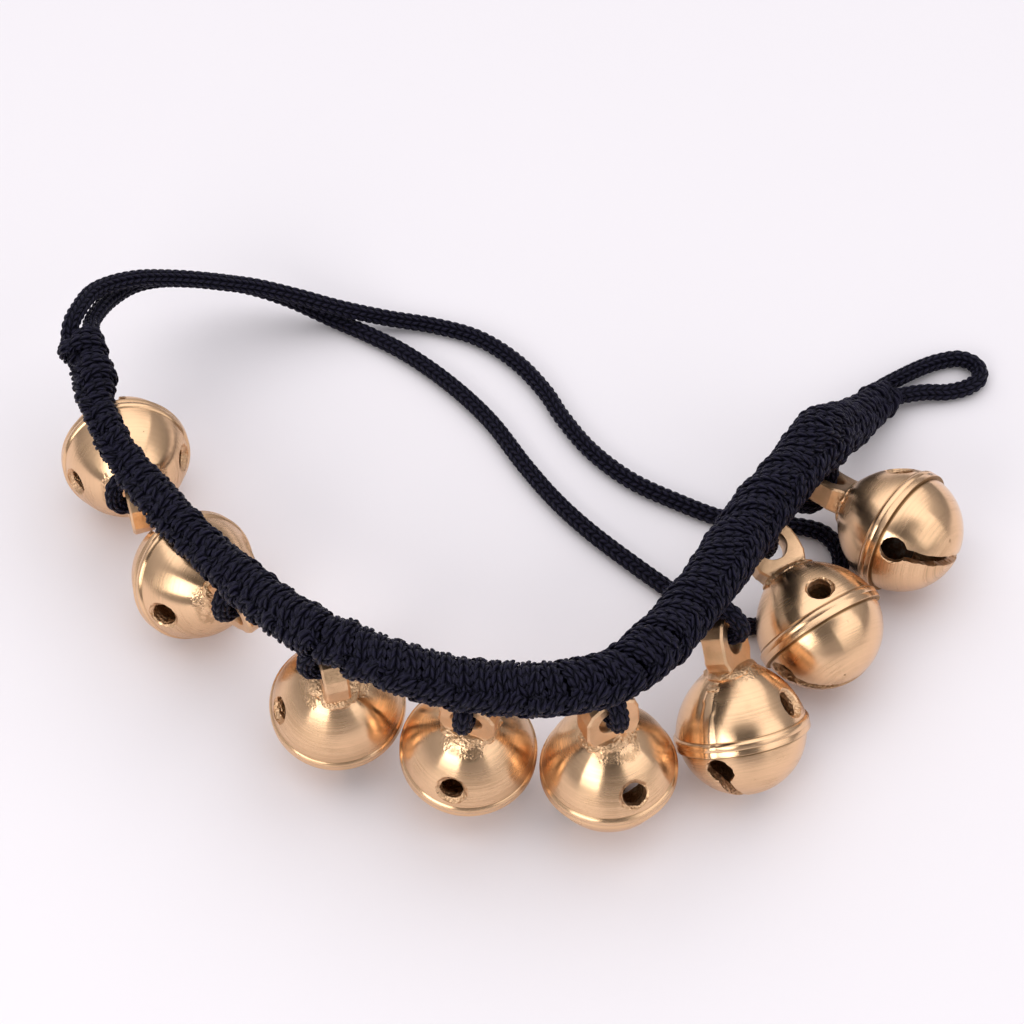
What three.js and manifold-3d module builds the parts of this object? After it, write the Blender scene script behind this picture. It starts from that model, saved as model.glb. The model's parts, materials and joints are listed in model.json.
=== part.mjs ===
// Ghungroo ankle bells: eight cast brass bells lashed under a knotted cord band.
// Millimetres, +Z up, the table at z = 0.
import * as THREE from 'three';
import { mergeVertices } from 'three/addons/utils/BufferGeometryUtils.js';
import Module from 'manifold-3d';

// General fits
const FIT = 0.3;
const FACET_FIT = 0.7;
const LOOP_FIT = 0.45;
const PELLET_FIT = 0.9;
const CORD_DIAMETER = 3.6;

// Bell shell, measured in its own frame: centre of the rim at the origin, lug along +Z
const RIM_DIAMETER = 26;
const RIM_STEP = 0.9;
const RIM_HEIGHT = 3;
const RIM_CHAMFER = 0.9;
const WALL = 1.5;
const DOME_HEIGHT = 12;
const DOME_SHOULDER_RADIUS = 11;
const DOME_SHOULDER_HEIGHT = 8;
const NECK_RADIUS = 4.8;
const CROWN_WALL = 2.2;

// Openings of the shell
const HOLE_DIAMETER = 5.6;
const HOLE_RISE_DEG = 24;
const SLIT_WIDTH = 1.8;
const SLIT_END_DIAMETER = 5.2;
const SLIT_END_DROP_DEG = 22;

// Lug and its eye
const LUG_WIDTH = 10.6;
const LUG_THICKNESS = 4.6;
const LUG_WAIST = 8.4;
const LUG_NECK_HEIGHT = 2.4;
const EYE_DIAMETER = 5.8;
const EYE_RISE = 6;

// Loose pellet
const PELLET_DIAMETER = 7.2;

// Band: cover, core and the bindings at both ends
const HITCH_PITCH = 4.2;
const HITCH_DEPTH = 0.8;
const HITCH_SLANT = 0.35;
const CORE_SHARE = 0.45;
const COLLAR_LENGTH = 5.2;
const COLLAR_SWELL = 0.9;
const WHIPPING_LENGTH = 8;
const WHIPPING_TURNS = 4;
const WHIPPING_GROOVE = 0.5;

// Facets
const SHELL_SIDES = 18;
const CAVITY_SIDES = 12;
const HOLE_SIDES = 8;
const LUG_STEPS = 5;
const BAND_SIDES = 8;
const CORD_SIDES = 8;
const TIE_STEPS = 80;
const CLOSING_STEPS = 22;
const LOOP_STEPS = 14;
const LOOP_WRAPS = 7;
const SPINE_FRAMES = 600;

const RIM_RADIUS = RIM_DIAMETER / 2;
const BODY_RADIUS = RIM_RADIUS - RIM_STEP;
const CAVITY_RADIUS = BODY_RADIUS - WALL;
const EYE_HEIGHT = DOME_HEIGHT + EYE_RISE;
const LUG_ROUND = LUG_WIDTH / 2;
const BAR_MIDDLE = (LUG_ROUND + EYE_DIAMETER / 2) / 2;
const BAR_HALF = LUG_ROUND - BAR_MIDDLE;
const CORD_RADIUS = CORD_DIAMETER / 2;
const BELL_PITCH = RIM_DIAMETER + 2 * FIT;

// How each bell lies: place on the table in bell pitches, heading and rise of its axis in degrees,
// roll about its axis, turn of its loop about the eye and lean of that loop out of the lug's plane,
// the radius of the band where the loop holds it, and how slack the loop is
const BELLS = [
  { x: -2.915, y: 1.128, heading: -74, rise: 19, roll: 0, turn: -82, lean: 0, band: 3.9, slack: 0.6 },
  { x: -2.315, y: 0.038, heading: -49, rise: 26, roll: 4, turn: -63, lean: 0, band: 4.6, slack: 0.9 },
  { x: -1.215, y: -1.062, heading: -89, rise: 79, roll: 14, turn: -11, lean: 0, band: 5, slack: 0 },
  { x: -0.275, y: -1.442, heading: -76, rise: 82, roll: 58, turn: -2, lean: 0, band: 5.1, slack: 0 },
  { x: 0.715, y: -1.582, heading: 129, rise: 87, roll: 77, turn: 0, lean: 0, band: 5.4, slack: 0 },
  { x: 1.665, y: -1.282, heading: 106, rise: 45, roll: -42, turn: -27, lean: 0, band: 5.5, slack: 0.6 },
  { x: 2.275, y: -0.422, heading: 122, rise: 17, roll: -92, turn: -39, lean: -79, band: 5.6, slack: 1.9 },
  { x: 2.945, y: 0.438, heading: 139, rise: -5, roll: -56, turn: -62, lean: -75, band: 5.8, slack: 0.9 },
];

// The band's free ends: steps from the first bell's and the last bell's place on the band,
// with the band's radius
const LEFT_RUN = [
  { step: [-12.5, 30, 2.4], band: 3.2 },
  { step: [-9.2, 18.4, 2.5], band: 3.5 },
  { step: [-5.1, 7.8, 2.4], band: 3.5 },
];
const RIGHT_RUN = [
  { step: [8.5, 14.2, -11.5], band: 5 },
  { step: [13.5, 21.5, -16.2], band: 4 },
  { step: [17.5, 27, -18.9], band: 3.4 },
];

// Routes of the free cords
const TIE_ROUTE = [
  [-88.2, 45.8, 31.2], [-88, 49.4, 32], [-86.8, 53.9, 31.6], [-85, 58.8, 30.4], [-81.5, 63, 28.4],
  [-76.8, 66.5, 26], [-71.9, 69.3, 23], [-66.1, 71.5, 20], [-60.2, 73.2, 17], [-53.8, 75.1, 13.5],
  [-44.6, 75.5, 9.6], [-36.6, 75.3, 6.4], [-26, 75.2, 3],
  [-16, 74, 1.9], [-6.4, 70.5, 1.9], [2, 63.7, 1.9], [8.1, 55.4, 1.9], [11.4, 49, 1.9],
  [17.2, 40.2, 1.9], [25.4, 32.3, 1.9], [35.5, 26.4, 1.9], [43.6, 22.6, 1.9], [51.7, 20.6, 1.9],
  [59.2, 20.5, 1.9], [64.6, 18.6, 1.9], [67.2, 14.5, 1.9], [67.2, 9.8, 1.9], [64.6, 5.4, 1.9],
  [58.2, 0.4, 1.9], [51.9, -3.4, 1.9], [46.1, -4, 1.9], [39.4, -1.4, 1.9], [33.1, 4.3, 1.9],
  [26.6, 10, 1.9], [16.8, 19.2, 1.9], [10, 26.9, 1.9], [3.8, 35.7, 1.9], [-3.7, 47.8, 1.9],
  [-12.3, 57.8, 1.9], [-22.1, 66.4, 1.9], [-29.4, 71.1, 1.9], [-38.6, 75.8, 2.4], [-47.1, 77.7, 6.2],
  [-54.6, 77.7, 10.1], [-60.7, 76.3, 13.6], [-67, 74.3, 16.7], [-73.3, 71.7, 19.7], [-78.2, 68.1, 22.1],
  [-81.9, 63.1, 24], [-84, 56.7, 26.8], [-84.8, 52.3, 28.3], [-84.3, 49.6, 29.8], [-84.5, 47.6, 30.8],
];
const CLOSING_ROUTE = [
  [79.3, 55.7, 3.4], [83.6, 58.8, 2.9], [88, 61.7, 2.4], [92.6, 64, 1.9], [97.2, 64.7, 1.9],
  [100.4, 62.8, 1.9], [100.7, 59.5, 1.9], [98, 57, 1.9], [93.4, 55.6, 1.9], [88.8, 55.1, 2.5],
  [85.5, 54.3, 2.9], [82.3, 53.2, 3.3],
];

const UP = new THREE.Vector3(0, 0, 1);
const radians = THREE.MathUtils.degToRad;
const wasm = await Module();
wasm.setup();

// A closed solid for cutting, from any closed geometry
function solid(geometry) {
  const bare = geometry.clone();
  bare.deleteAttribute('normal');
  bare.deleteAttribute('uv');
  const merged = mergeVertices(bare, 1e-4);
  const corners = Array.from(merged.index.array);
  const triangles = [];
  for (let i = 0; i < corners.length; i += 3) {
    const [a, b, c] = corners.slice(i, i + 3);
    if (a !== b && b !== c && c !== a) triangles.push(a, b, c);
  }
  const mesh = new wasm.Mesh({
    numProp: 3,
    vertProperties: new Float32Array(merged.attributes.position.array),
    triVerts: new Uint32Array(triangles),
  });
  return new wasm.Manifold(mesh);
}

function geometryOf(manifold) {
  const mesh = manifold.getMesh();
  const geometry = new THREE.BufferGeometry();
  geometry.setAttribute('position', new THREE.BufferAttribute(new Float32Array(mesh.vertProperties), 3));
  geometry.setIndex(new THREE.BufferAttribute(new Uint32Array(mesh.triVerts), 1));
  geometry.computeVertexNormals();
  return geometry;
}

// A turned solid about Z from a profile of [radius, height] points
function turned(profile, sides) {
  const lathe = new THREE.LatheGeometry(profile.map(([r, z]) => new THREE.Vector2(r, z)), sides);
  return lathe.rotateX(Math.PI / 2);
}

function arc(radius, fromDeg, toDeg, count) {
  return Array.from({ length: count + 1 }, (_, i) => {
    const angle = radians(fromDeg + ((toDeg - fromDeg) * i) / count);
    return [Math.max(0, radius * Math.cos(angle)), radius * Math.sin(angle)];
  });
}

function bend(start, shoulder, end, count) {
  const curve = new THREE.QuadraticBezierCurve(
    new THREE.Vector2(...start), new THREE.Vector2(...shoulder), new THREE.Vector2(...end));
  return curve.getPoints(count).map((p) => [p.x, p.y]);
}

// Outer outline of the turned body, from the pole of the bowl to the crown
function bodyProfile() {
  const half = RIM_HEIGHT / 2;
  const bowlTop = -THREE.MathUtils.radToDeg(Math.asin((half + FIT) / BODY_RADIUS));
  const domeFoot = [RIM_RADIUS - RIM_CHAMFER - FIT, half];
  return [
    ...arc(BODY_RADIUS, -90, bowlTop, 4),
    [RIM_RADIUS, -half],
    [RIM_RADIUS, half - RIM_CHAMFER],
    [RIM_RADIUS - RIM_CHAMFER, half],
    ...bend(domeFoot, [DOME_SHOULDER_RADIUS, DOME_SHOULDER_HEIGHT], [NECK_RADIUS, DOME_HEIGHT], 4),
    [0, DOME_HEIGHT],
  ];
}

function cavityProfile() {
  const roof = DOME_HEIGHT - CROWN_WALL;
  const ceiling = bend([CAVITY_RADIUS, 0], [CAVITY_RADIUS, roof / 2], [0, roof], 3);
  return [...arc(CAVITY_RADIUS, -90, 0, 3), ...ceiling.slice(1)];
}

function roundCutter(diameter, direction) {
  const length = RIM_DIAMETER / 2;
  const cutter = new THREE.CylinderGeometry(diameter / 2, diameter / 2, length, HOLE_SIDES);
  const turn = new THREE.Quaternion().setFromUnitVectors(new THREE.Vector3(0, 1, 0), direction);
  return solid(cutter.applyQuaternion(turn).translate(...direction.clone().multiplyScalar(length).toArray()));
}

// Flat lug with a round head about the eye and a narrower waist above the dome
function lugGeometry() {
  const outline = new THREE.Shape();
  const root = DOME_HEIGHT - CROWN_WALL / 2;
  outline.moveTo(LUG_WAIST / 2, root);
  outline.lineTo(LUG_WAIST / 2, DOME_HEIGHT + FIT);
  outline.lineTo(LUG_ROUND, DOME_HEIGHT + LUG_NECK_HEIGHT);
  outline.lineTo(LUG_ROUND, EYE_HEIGHT);
  outline.absarc(0, EYE_HEIGHT, LUG_ROUND, 0, Math.PI, false);
  outline.lineTo(-LUG_ROUND, DOME_HEIGHT + LUG_NECK_HEIGHT);
  outline.lineTo(-LUG_WAIST / 2, DOME_HEIGHT + FIT);
  outline.lineTo(-LUG_WAIST / 2, root);
  const eye = new THREE.Path();
  eye.absarc(0, EYE_HEIGHT, EYE_DIAMETER / 2, 0, 2 * Math.PI, true);
  outline.holes.push(eye);
  const options = { depth: LUG_THICKNESS, bevelEnabled: false, curveSegments: LUG_STEPS };
  const plate = new THREE.ExtrudeGeometry(outline, options);
  return plate.translate(0, 0, -LUG_THICKNESS / 2).rotateX(Math.PI / 2);
}

// One cast shell: body and lug, less the cavity, the two dome holes and the slit with its round ends
function shellGeometry() {
  let shell = solid(turned(bodyProfile(), SHELL_SIDES)).add(solid(lugGeometry()));
  shell = shell.subtract(solid(turned(cavityProfile(), CAVITY_SIDES)));
  const rise = radians(HOLE_RISE_DEG);
  const drop = radians(SLIT_END_DROP_DEG);
  for (const side of [1, -1]) {
    const hole = new THREE.Vector3(0, side * Math.cos(rise), Math.sin(rise));
    const slitEnd = new THREE.Vector3(side * Math.cos(drop), 0, -Math.sin(drop));
    shell = shell.subtract(roundCutter(HOLE_DIAMETER, hole));
    shell = shell.subtract(roundCutter(SLIT_END_DIAMETER, slitEnd));
  }
  const slitTop = -BODY_RADIUS * Math.sin(drop);
  const slit = new THREE.BoxGeometry(RIM_DIAMETER, SLIT_WIDTH, RIM_RADIUS + slitTop);
  return geometryOf(shell.subtract(solid(slit.translate(0, 0, (slitTop - RIM_RADIUS) / 2))));
}

// Height of the bell's centre when the lowest point of its body touches the table
function restHeight(rise) {
  const heights = bodyProfile().map(([r, z]) => r * Math.cos(rise) - z * Math.sin(rise));
  return Math.max(...heights);
}

// A loop's own plane, measured from the eye: the way the loop hangs, across the lug and away from its eye,
// the lug's bar, and where the loop meets the middle of the band
function hanging(bell) {
  const way = new THREE.Vector2(Math.sin(radians(bell.lean)), Math.cos(radians(bell.lean)));
  const bar = new THREE.Vector2(LUG_THICKNESS / 2, BAR_HALF);
  const clear = bar.x * Math.abs(way.x) + bar.y * Math.abs(way.y) + FIT + bell.slack + bell.band;
  const end = way.clone().multiplyScalar(clear).add(new THREE.Vector2(0, BAR_MIDDLE));
  return { way, bar, end };
}

// A point of a loop's own plane in its bell's frame
function fromLoopPlane(bell, point) {
  const turn = new THREE.Matrix4().makeRotationY(radians(bell.turn));
  return new THREE.Vector3(0, point.x, point.y).applyMatrix4(turn).add(new THREE.Vector3(0, 0, EYE_HEIGHT));
}

// Where a bell lies, which way it faces and where its loop meets the middle of the band
function lie(bell) {
  const rise = radians(bell.rise);
  const heading = new THREE.Quaternion().setFromAxisAngle(UP, radians(bell.heading));
  const tilt = new THREE.Quaternion().setFromAxisAngle(new THREE.Vector3(0, 1, 0), Math.PI / 2 - rise);
  const roll = new THREE.Quaternion().setFromAxisAngle(UP, radians(bell.roll));
  const turn = heading.multiply(tilt).multiply(roll);
  const centre = new THREE.Vector3(bell.x * BELL_PITCH, bell.y * BELL_PITCH, restHeight(rise));
  const anchor = fromLoopPlane(bell, hanging(bell).end).applyQuaternion(turn).add(centre);
  return { centre, turn, anchor };
}

// Middle line of the band through every bell's anchor, with the radius that belongs to each point
const lies = BELLS.map(lie);
function freeRun(run, anchor) {
  return run.map(({ step, band }) => ({ point: anchor.clone().add(new THREE.Vector3(...step)), band }));
}
const stations = [
  ...freeRun(LEFT_RUN, lies[0].anchor),
  ...BELLS.map((bell, i) => ({ point: lies[i].anchor, band: bell.band })),
  ...freeRun(RIGHT_RUN, lies.at(-1).anchor),
];
const spine = new THREE.CatmullRomCurve3(stations.map((s) => s.point), false, 'centripetal');
const spineLength = spine.getLength();
const spineFrames = spine.computeFrenetFrames(SPINE_FRAMES, false);

function bandRadius(along) {
  const place = spine.getUtoTmapping(along / spineLength) * (stations.length - 1);
  const before = Math.min(Math.floor(place), stations.length - 2);
  return THREE.MathUtils.lerp(stations[before].band, stations[before + 1].band, place - before);
}

// Bends a turned solid, whose axis is measured along the band, round the band's middle line
function alongBand(profile, slant = 0) {
  const geometry = new THREE.LatheGeometry(profile.map(([r, s]) => new THREE.Vector2(r, s)), BAND_SIDES);
  const position = geometry.attributes.position;
  for (let i = 0; i < position.count; i += 1) {
    const share = position.getY(i) / spineLength;
    const skew = slant * position.getX(i) * Math.sin(Math.PI * share);
    const at = THREE.MathUtils.clamp(share + skew / spineLength, 0, 1);
    const frame = Math.round(at * SPINE_FRAMES);
    const across = spineFrames.normals[frame];
    const other = across.clone().cross(spineFrames.tangents[frame]);
    const point = spine.getPointAt(at);
    point.addScaledVector(across, position.getX(i)).addScaledVector(other, position.getZ(i));
    position.setXYZ(i, point.x, point.y, point.z);
  }
  geometry.computeVertexNormals();
  return geometry;
}

const coreRadius = (along) => CORE_SHARE * bandRadius(along);

// Outline of a sleeve from one place on the band to another: ridges outside, a bore for the core inside
function sleeveProfile(from, to, ridges, outside) {
  const step = (to - from) / (2 * ridges);
  const places = Array.from({ length: 2 * ridges + 1 }, (_, i) => from + i * step);
  const outer = places.map((s, i) => [outside(s, i % 2 === 1), s]);
  const inner = places.filter((_, i) => i % 2 === 0).map((s) => [coreRadius(s) + FACET_FIT, s]);
  return [...outer, ...inner.reverse(), outer[0]];
}

function coverGeometry() {
  const from = COLLAR_LENGTH + FIT;
  const to = spineLength - WHIPPING_LENGTH - FIT;
  const hitches = Math.round((to - from) / HITCH_PITCH);
  const outside = (s, crest) => bandRadius(s) - (crest ? 0 : HITCH_DEPTH);
  return alongBand(sleeveProfile(from, to, hitches, outside), HITCH_SLANT);
}

function collarGeometry() {
  const outside = (s, crest) => bandRadius(s) + (crest ? COLLAR_SWELL : 0);
  return alongBand(sleeveProfile(0, COLLAR_LENGTH, 2, outside));
}

function whippingGeometry() {
  const outside = (s, crest) => bandRadius(s) - (crest ? 0 : WHIPPING_GROOVE);
  return alongBand(sleeveProfile(spineLength - WHIPPING_LENGTH, spineLength, WHIPPING_TURNS, outside));
}

function coreGeometry() {
  const count = stations.length * 3;
  const places = Array.from({ length: count + 1 }, (_, i) => (i * spineLength) / count);
  return alongBand([[0, 0], ...places.map((s) => [coreRadius(s), s]), [0, spineLength]]);
}

// Room that the band takes up, for cutting the loops to sit on it
function bandRoom() {
  const count = stations.length * 4;
  const places = Array.from({ length: count + 1 }, (_, i) => (i * spineLength) / count);
  return solid(alongBand([[0, 0], ...places.map((s) => [bandRadius(s) + FACET_FIT, s]), [0, spineLength]]));
}

function cordGeometry(path, steps) {
  const corner = (_, i) => {
    const angle = (2 * Math.PI * i) / CORD_SIDES;
    return new THREE.Vector2(CORD_RADIUS * Math.cos(angle), CORD_RADIUS * Math.sin(angle));
  };
  const section = new THREE.Shape(Array.from({ length: CORD_SIDES }, corner));
  return new THREE.ExtrudeGeometry(section, { steps, extrudePath: path, bevelEnabled: false });
}

function routeCurve(route) {
  return new THREE.CatmullRomCurve3(route.map((p) => new THREE.Vector3(...p)), false, 'centripetal');
}

// Middle line of a hanging loop in its bell's frame: from the band, round the lug's bar and back to the band
function loopCurve(bell) {
  const { way, bar, end } = hanging(bell);
  const round = CORD_RADIUS + LOOP_FIT;
  const side = new THREE.Vector2(way.y, -way.x);
  const wrap = Array.from({ length: LOOP_WRAPS + 1 }, (_, i) => {
    const angle = (Math.PI * i) / LOOP_WRAPS;
    const facing = side.clone().multiplyScalar(Math.cos(angle)).addScaledVector(way, -Math.sin(angle));
    const corner = new THREE.Vector2(bar.x * Math.sign(facing.x), bar.y * Math.sign(facing.y) + BAR_MIDDLE);
    return corner.addScaledVector(facing, round);
  });
  const rise = (point) => {
    const reach = end.clone().addScaledVector(way, -bell.band / 2).sub(point).dot(way);
    return [1, 0.5].map((share) => point.clone().addScaledVector(way, share * reach));
  };
  const line = [...rise(wrap[0]), ...wrap, ...rise(wrap.at(-1)).reverse()];
  return new THREE.CatmullRomCurve3(line.map((point) => fromLoopPlane(bell, point)), false, 'centripetal');
}

function loopGeometry(bell, place, room) {
  const loop = cordGeometry(loopCurve(bell), LOOP_STEPS);
  loop.applyQuaternion(place.turn).translate(...place.centre.toArray());
  return geometryOf(solid(loop).subtract(room));
}

const brass = () => new THREE.MeshStandardMaterial({ color: '#cd9f6a', roughness: 0.3, metalness: 1 });
const iron = () => new THREE.MeshStandardMaterial({ color: '#6b6660', roughness: 0.6, metalness: 1 });
const yarn = () => new THREE.MeshStandardMaterial({ color: '#16161d', roughness: 0.85, metalness: 0 });

function piece(name, geometry, material) {
  const mesh = new THREE.Mesh(geometry, material);
  mesh.name = name;
  return mesh;
}

const anklet = new THREE.Group();
anklet.name = 'ghungroo_anklet';
anklet.add(piece('band_cover', coverGeometry(), yarn()));
anklet.add(piece('band_core', coreGeometry(), yarn()));
anklet.add(piece('left_collar_knot', collarGeometry(), yarn()));
anklet.add(piece('right_whipping', whippingGeometry(), yarn()));
anklet.add(piece('closing_loop', cordGeometry(routeCurve(CLOSING_ROUTE), CLOSING_STEPS), yarn()));
anklet.add(piece('tie_cord', cordGeometry(routeCurve(TIE_ROUTE), TIE_STEPS), yarn()));

const room = bandRoom();
const pelletDrop = CAVITY_RADIUS - PELLET_DIAMETER / 2 - PELLET_FIT;
BELLS.forEach((bell, i) => {
  const place = lies[i];
  const number = i + 1;
  const shell = piece(`bell_shell_${number}`, shellGeometry(), brass());
  shell.quaternion.copy(place.turn);
  const pellet = piece(`pellet_${number}`, new THREE.IcosahedronGeometry(PELLET_DIAMETER / 2, 1), iron());
  pellet.position.z = -pelletDrop;
  const group = new THREE.Group();
  group.name = `bell_${number}`;
  group.position.copy(place.centre);
  group.userData.hinge = { point: place.anchor, axis: spine.getTangentAt(nearestShare(place.anchor)) };
  group.add(shell, pellet);
  anklet.add(group, piece(`hanging_loop_${number}`, loopGeometry(bell, place, room), yarn()));
});

// Share of the band's length at which its middle line passes nearest to a point
function nearestShare(point) {
  const shares = Array.from({ length: SPINE_FRAMES + 1 }, (_, i) => i / SPINE_FRAMES);
  const distance = (share) => spine.getPointAt(share).distanceTo(point);
  return shares.reduce((best, share) => (distance(share) < distance(best) ? share : best));
}

export default anklet;
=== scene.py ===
"""Ghungroo ankle bells: cast brass bells on a hitched black cord band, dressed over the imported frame."""

import bisect
import functools
import json
import math
import random
from collections import namedtuple

import bmesh
import bpy
from mathutils import Matrix, Quaternion, Vector, noise


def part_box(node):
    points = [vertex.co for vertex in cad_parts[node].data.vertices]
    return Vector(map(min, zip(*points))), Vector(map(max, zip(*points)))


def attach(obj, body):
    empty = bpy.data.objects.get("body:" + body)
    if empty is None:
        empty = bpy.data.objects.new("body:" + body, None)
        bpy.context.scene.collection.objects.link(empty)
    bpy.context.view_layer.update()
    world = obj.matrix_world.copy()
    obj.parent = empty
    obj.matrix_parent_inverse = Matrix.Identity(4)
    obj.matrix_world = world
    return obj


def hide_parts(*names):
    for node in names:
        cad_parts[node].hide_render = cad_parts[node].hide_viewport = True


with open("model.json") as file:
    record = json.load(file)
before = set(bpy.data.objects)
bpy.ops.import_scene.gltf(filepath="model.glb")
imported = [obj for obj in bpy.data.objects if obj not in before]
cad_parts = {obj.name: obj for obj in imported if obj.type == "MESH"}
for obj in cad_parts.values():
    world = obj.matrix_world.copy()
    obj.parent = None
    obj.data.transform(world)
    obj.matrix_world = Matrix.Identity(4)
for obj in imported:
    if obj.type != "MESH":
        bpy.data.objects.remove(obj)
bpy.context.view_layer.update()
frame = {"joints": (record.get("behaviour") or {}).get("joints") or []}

bl_info = {
    "name": "Ghungroo Ankle Bells",
    "version": (1, 0, 0),
    "blender": (4, 5, 0),
    "location": "View3D > Sidebar > Anklet",
    "description": "Builds the brass bells, the knitted cords and the hitched band of an anklet",
    "category": "Object",
}

MM = 0.001
UP = Vector((0, 0, 1))
SEED_STEP = Vector((7.31, 3.17, 5.53))
ROOT_BODY = "band"

# How each bell lies, in degrees and millimetres: the loop turns about the eye and leans out of the lug
Lie = namedtuple("Lie", "heading rise roll loop_turn loop_lean band_radius loop_slack")
BELL_LIES = [
    Lie(-74, 19, 0, -82, 0, 3.9, 0.6),
    Lie(-49, 26, 4, -63, 0, 4.6, 0.9),
    Lie(-89, 79, 14, -11, 0, 5, 0),
    Lie(-76, 82, 58, -2, 0, 5.1, 0),
    Lie(129, 87, 77, 0, 0, 5.4, 0),
    Lie(106, 45, -42, -27, 0, 5.5, 0.6),
    Lie(122, 17, -92, -39, -79, 5.6, 1.9),
    Lie(139, -5, -56, -62, -75, 5.8, 0.9),
]

# The band's free ends, as steps in millimetres from the first and the last loop, with the band's radius
LEFT_RUN = [((-12.5, 30, 2.4), 3.2), ((-9.2, 18.4, 2.5), 3.5), ((-5.1, 7.8, 2.4), 3.5)]
RIGHT_RUN = [((8.5, 14.2, -11.5), 5), ((13.5, 21.5, -16.2), 4), ((17.5, 27, -18.9), 3.4)]

# Routes of the free cords, in millimetres
TIE_ROUTE = [
    (-88.2, 45.8, 31.2), (-88, 49.4, 32), (-86.8, 53.9, 31.6), (-85, 58.8, 30.4), (-81.5, 63, 28.4),
    (-76.8, 66.5, 26), (-71.9, 69.3, 23), (-66.1, 71.5, 20), (-60.2, 73.2, 17), (-53.8, 75.1, 13.5),
    (-44.6, 75.5, 9.6), (-36.6, 75.3, 6.4), (-26, 75.2, 3),
    (-16, 74, 1.9), (-6.4, 70.5, 1.9), (2, 63.7, 1.9), (8.1, 55.4, 1.9), (11.4, 49, 1.9),
    (17.2, 40.2, 1.9), (25.4, 32.3, 1.9), (35.5, 26.4, 1.9), (43.6, 22.6, 1.9), (51.7, 20.6, 1.9),
    (59.2, 20.5, 1.9), (64.6, 18.6, 1.9), (67.2, 14.5, 1.9), (67.2, 9.8, 1.9), (64.6, 5.4, 1.9),
    (58.2, 0.4, 1.9), (51.9, -3.4, 1.9), (46.1, -4, 1.9), (39.4, -1.4, 1.9), (33.1, 4.3, 1.9),
    (26.6, 10, 1.9), (16.8, 19.2, 1.9), (10, 26.9, 1.9), (3.8, 35.7, 1.9), (-3.7, 47.8, 1.9),
    (-12.3, 57.8, 1.9), (-22.1, 66.4, 1.9), (-29.4, 71.1, 1.9), (-38.6, 75.8, 2.4), (-47.1, 77.7, 6.2),
    (-54.6, 77.7, 10.1), (-60.7, 76.3, 13.6), (-67, 74.3, 16.7), (-73.3, 71.7, 19.7), (-78.2, 68.1, 22.1),
    (-81.9, 63.1, 24), (-84, 56.7, 26.8), (-84.8, 52.3, 28.3), (-84.3, 49.6, 29.8), (-84.5, 47.6, 30.8),
]
CLOSING_ROUTE = [
    (79.3, 55.7, 3.4), (83.6, 58.8, 2.9), (88, 61.7, 2.4), (92.6, 64, 1.9), (97.2, 64.7, 1.9),
    (100.4, 62.8, 1.9), (100.7, 59.5, 1.9), (98, 57, 1.9), (93.4, 55.6, 1.9), (88.8, 55.1, 2.5),
    (85.5, 54.3, 2.9), (82.3, 53.2, 3.3),
]

# Turned body of a bell, in its own frame: centre of the rim at the origin, lug along +Z
SHELL_SIDES = 160
BOWL_ROWS = 30
DOME_ROWS = 28
CAVITY_ROWS = 16
BOWL_STEP = 0.65 * MM
DOME_STEP = 0.5 * MM
CAVITY_STEP = 0.9 * MM
WALL = 1.5 * MM
CROWN_WALL = 2.2 * MM
RIM_LOW = 1.45 * MM
RIM_HIGH = 1.15 * MM
EDGE_ROUND = 0.12 * MM
STEP_DEPTH = 0.2 * MM
TURNED_LINE = 0.09 * MM
DOME_HEIGHT = 12 * MM
DOME_SHOULDER = (11 * MM, 8 * MM)
NECK_RADIUS = 4.8 * MM
CAST_WOBBLE = 0.03 * MM
WOBBLE_SCALE = 150
TURNED_REACH = 0.12 * MM
CREASE = math.radians(32)
MERGE_REACH = 1e-6

# Parting rib up one bell, with a ledge at its top
RIB_BELL = 6
RIB_ANGLE = math.radians(176)
RIB_HALF_WIDTH = 1.15 * MM
RIB_RISE = 0.22 * MM
RIB_FOOT = -1.45 * MM
RIB_TOP = 10.6 * MM
LEDGE_RISE = 0.6 * MM
LEDGE_HEIGHT = 0.6 * MM

# Openings of a bell: each is cut through the shell, and then its lip, with a share of fine roughness
Cut = namedtuple("Cut", "seed_step fine_share")
CUT_INSIDE = 7 * MM
CUT_OUTSIDE = 16 * MM
CUT_SURFACE = 12.1 * MM
CUTTER_SIDES = 72
CUTTER_ROWS = 4
CUTTER_SCALES = (260, 1000)
FINE_SEED = 3
HOLE_RISE = math.radians(24)
HOLE_CUT = Cut(20, 0.5)
HOLE_LUCK = (0.74, 0.88)
HOLE_LIP_CUT = Cut(31, 0.9)
HOLE_LIP_WIDTH = (0.55 * MM, 1.05 * MM)
HOLE_LIP_SLIP = (0.02, 0.045)
HOLE_LIP_DEPTHS = (1.2 * MM, 0.15 * MM)
HOLE_LIP_FOOT = 0.8
HOLE_LIP_FLARE = 0.6 * MM
SLIT_DROP = math.radians(22)
SLIT_END_CUT = Cut(40, 0.8)
SLIT_LIP_CUT = Cut(51, 0.9)
SLIT_LIP_DEPTHS = (0.5 * MM, -0.3 * MM)
SLIT_LIP_FOOT = 0.9
SLIT_LIP_WIDTH = 0.45 * MM
SLIT_LIP_FLARE = 1 * MM
SLIT_STEPS = 120
SLIT_TAPER = (0.9, 0.3)
SLIT_LAYERS = [(330, 1.0), (1300, 0.6)]
SLIT_EDGE_SEED = 5
SLIT_FLOOR = 1.2

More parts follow.
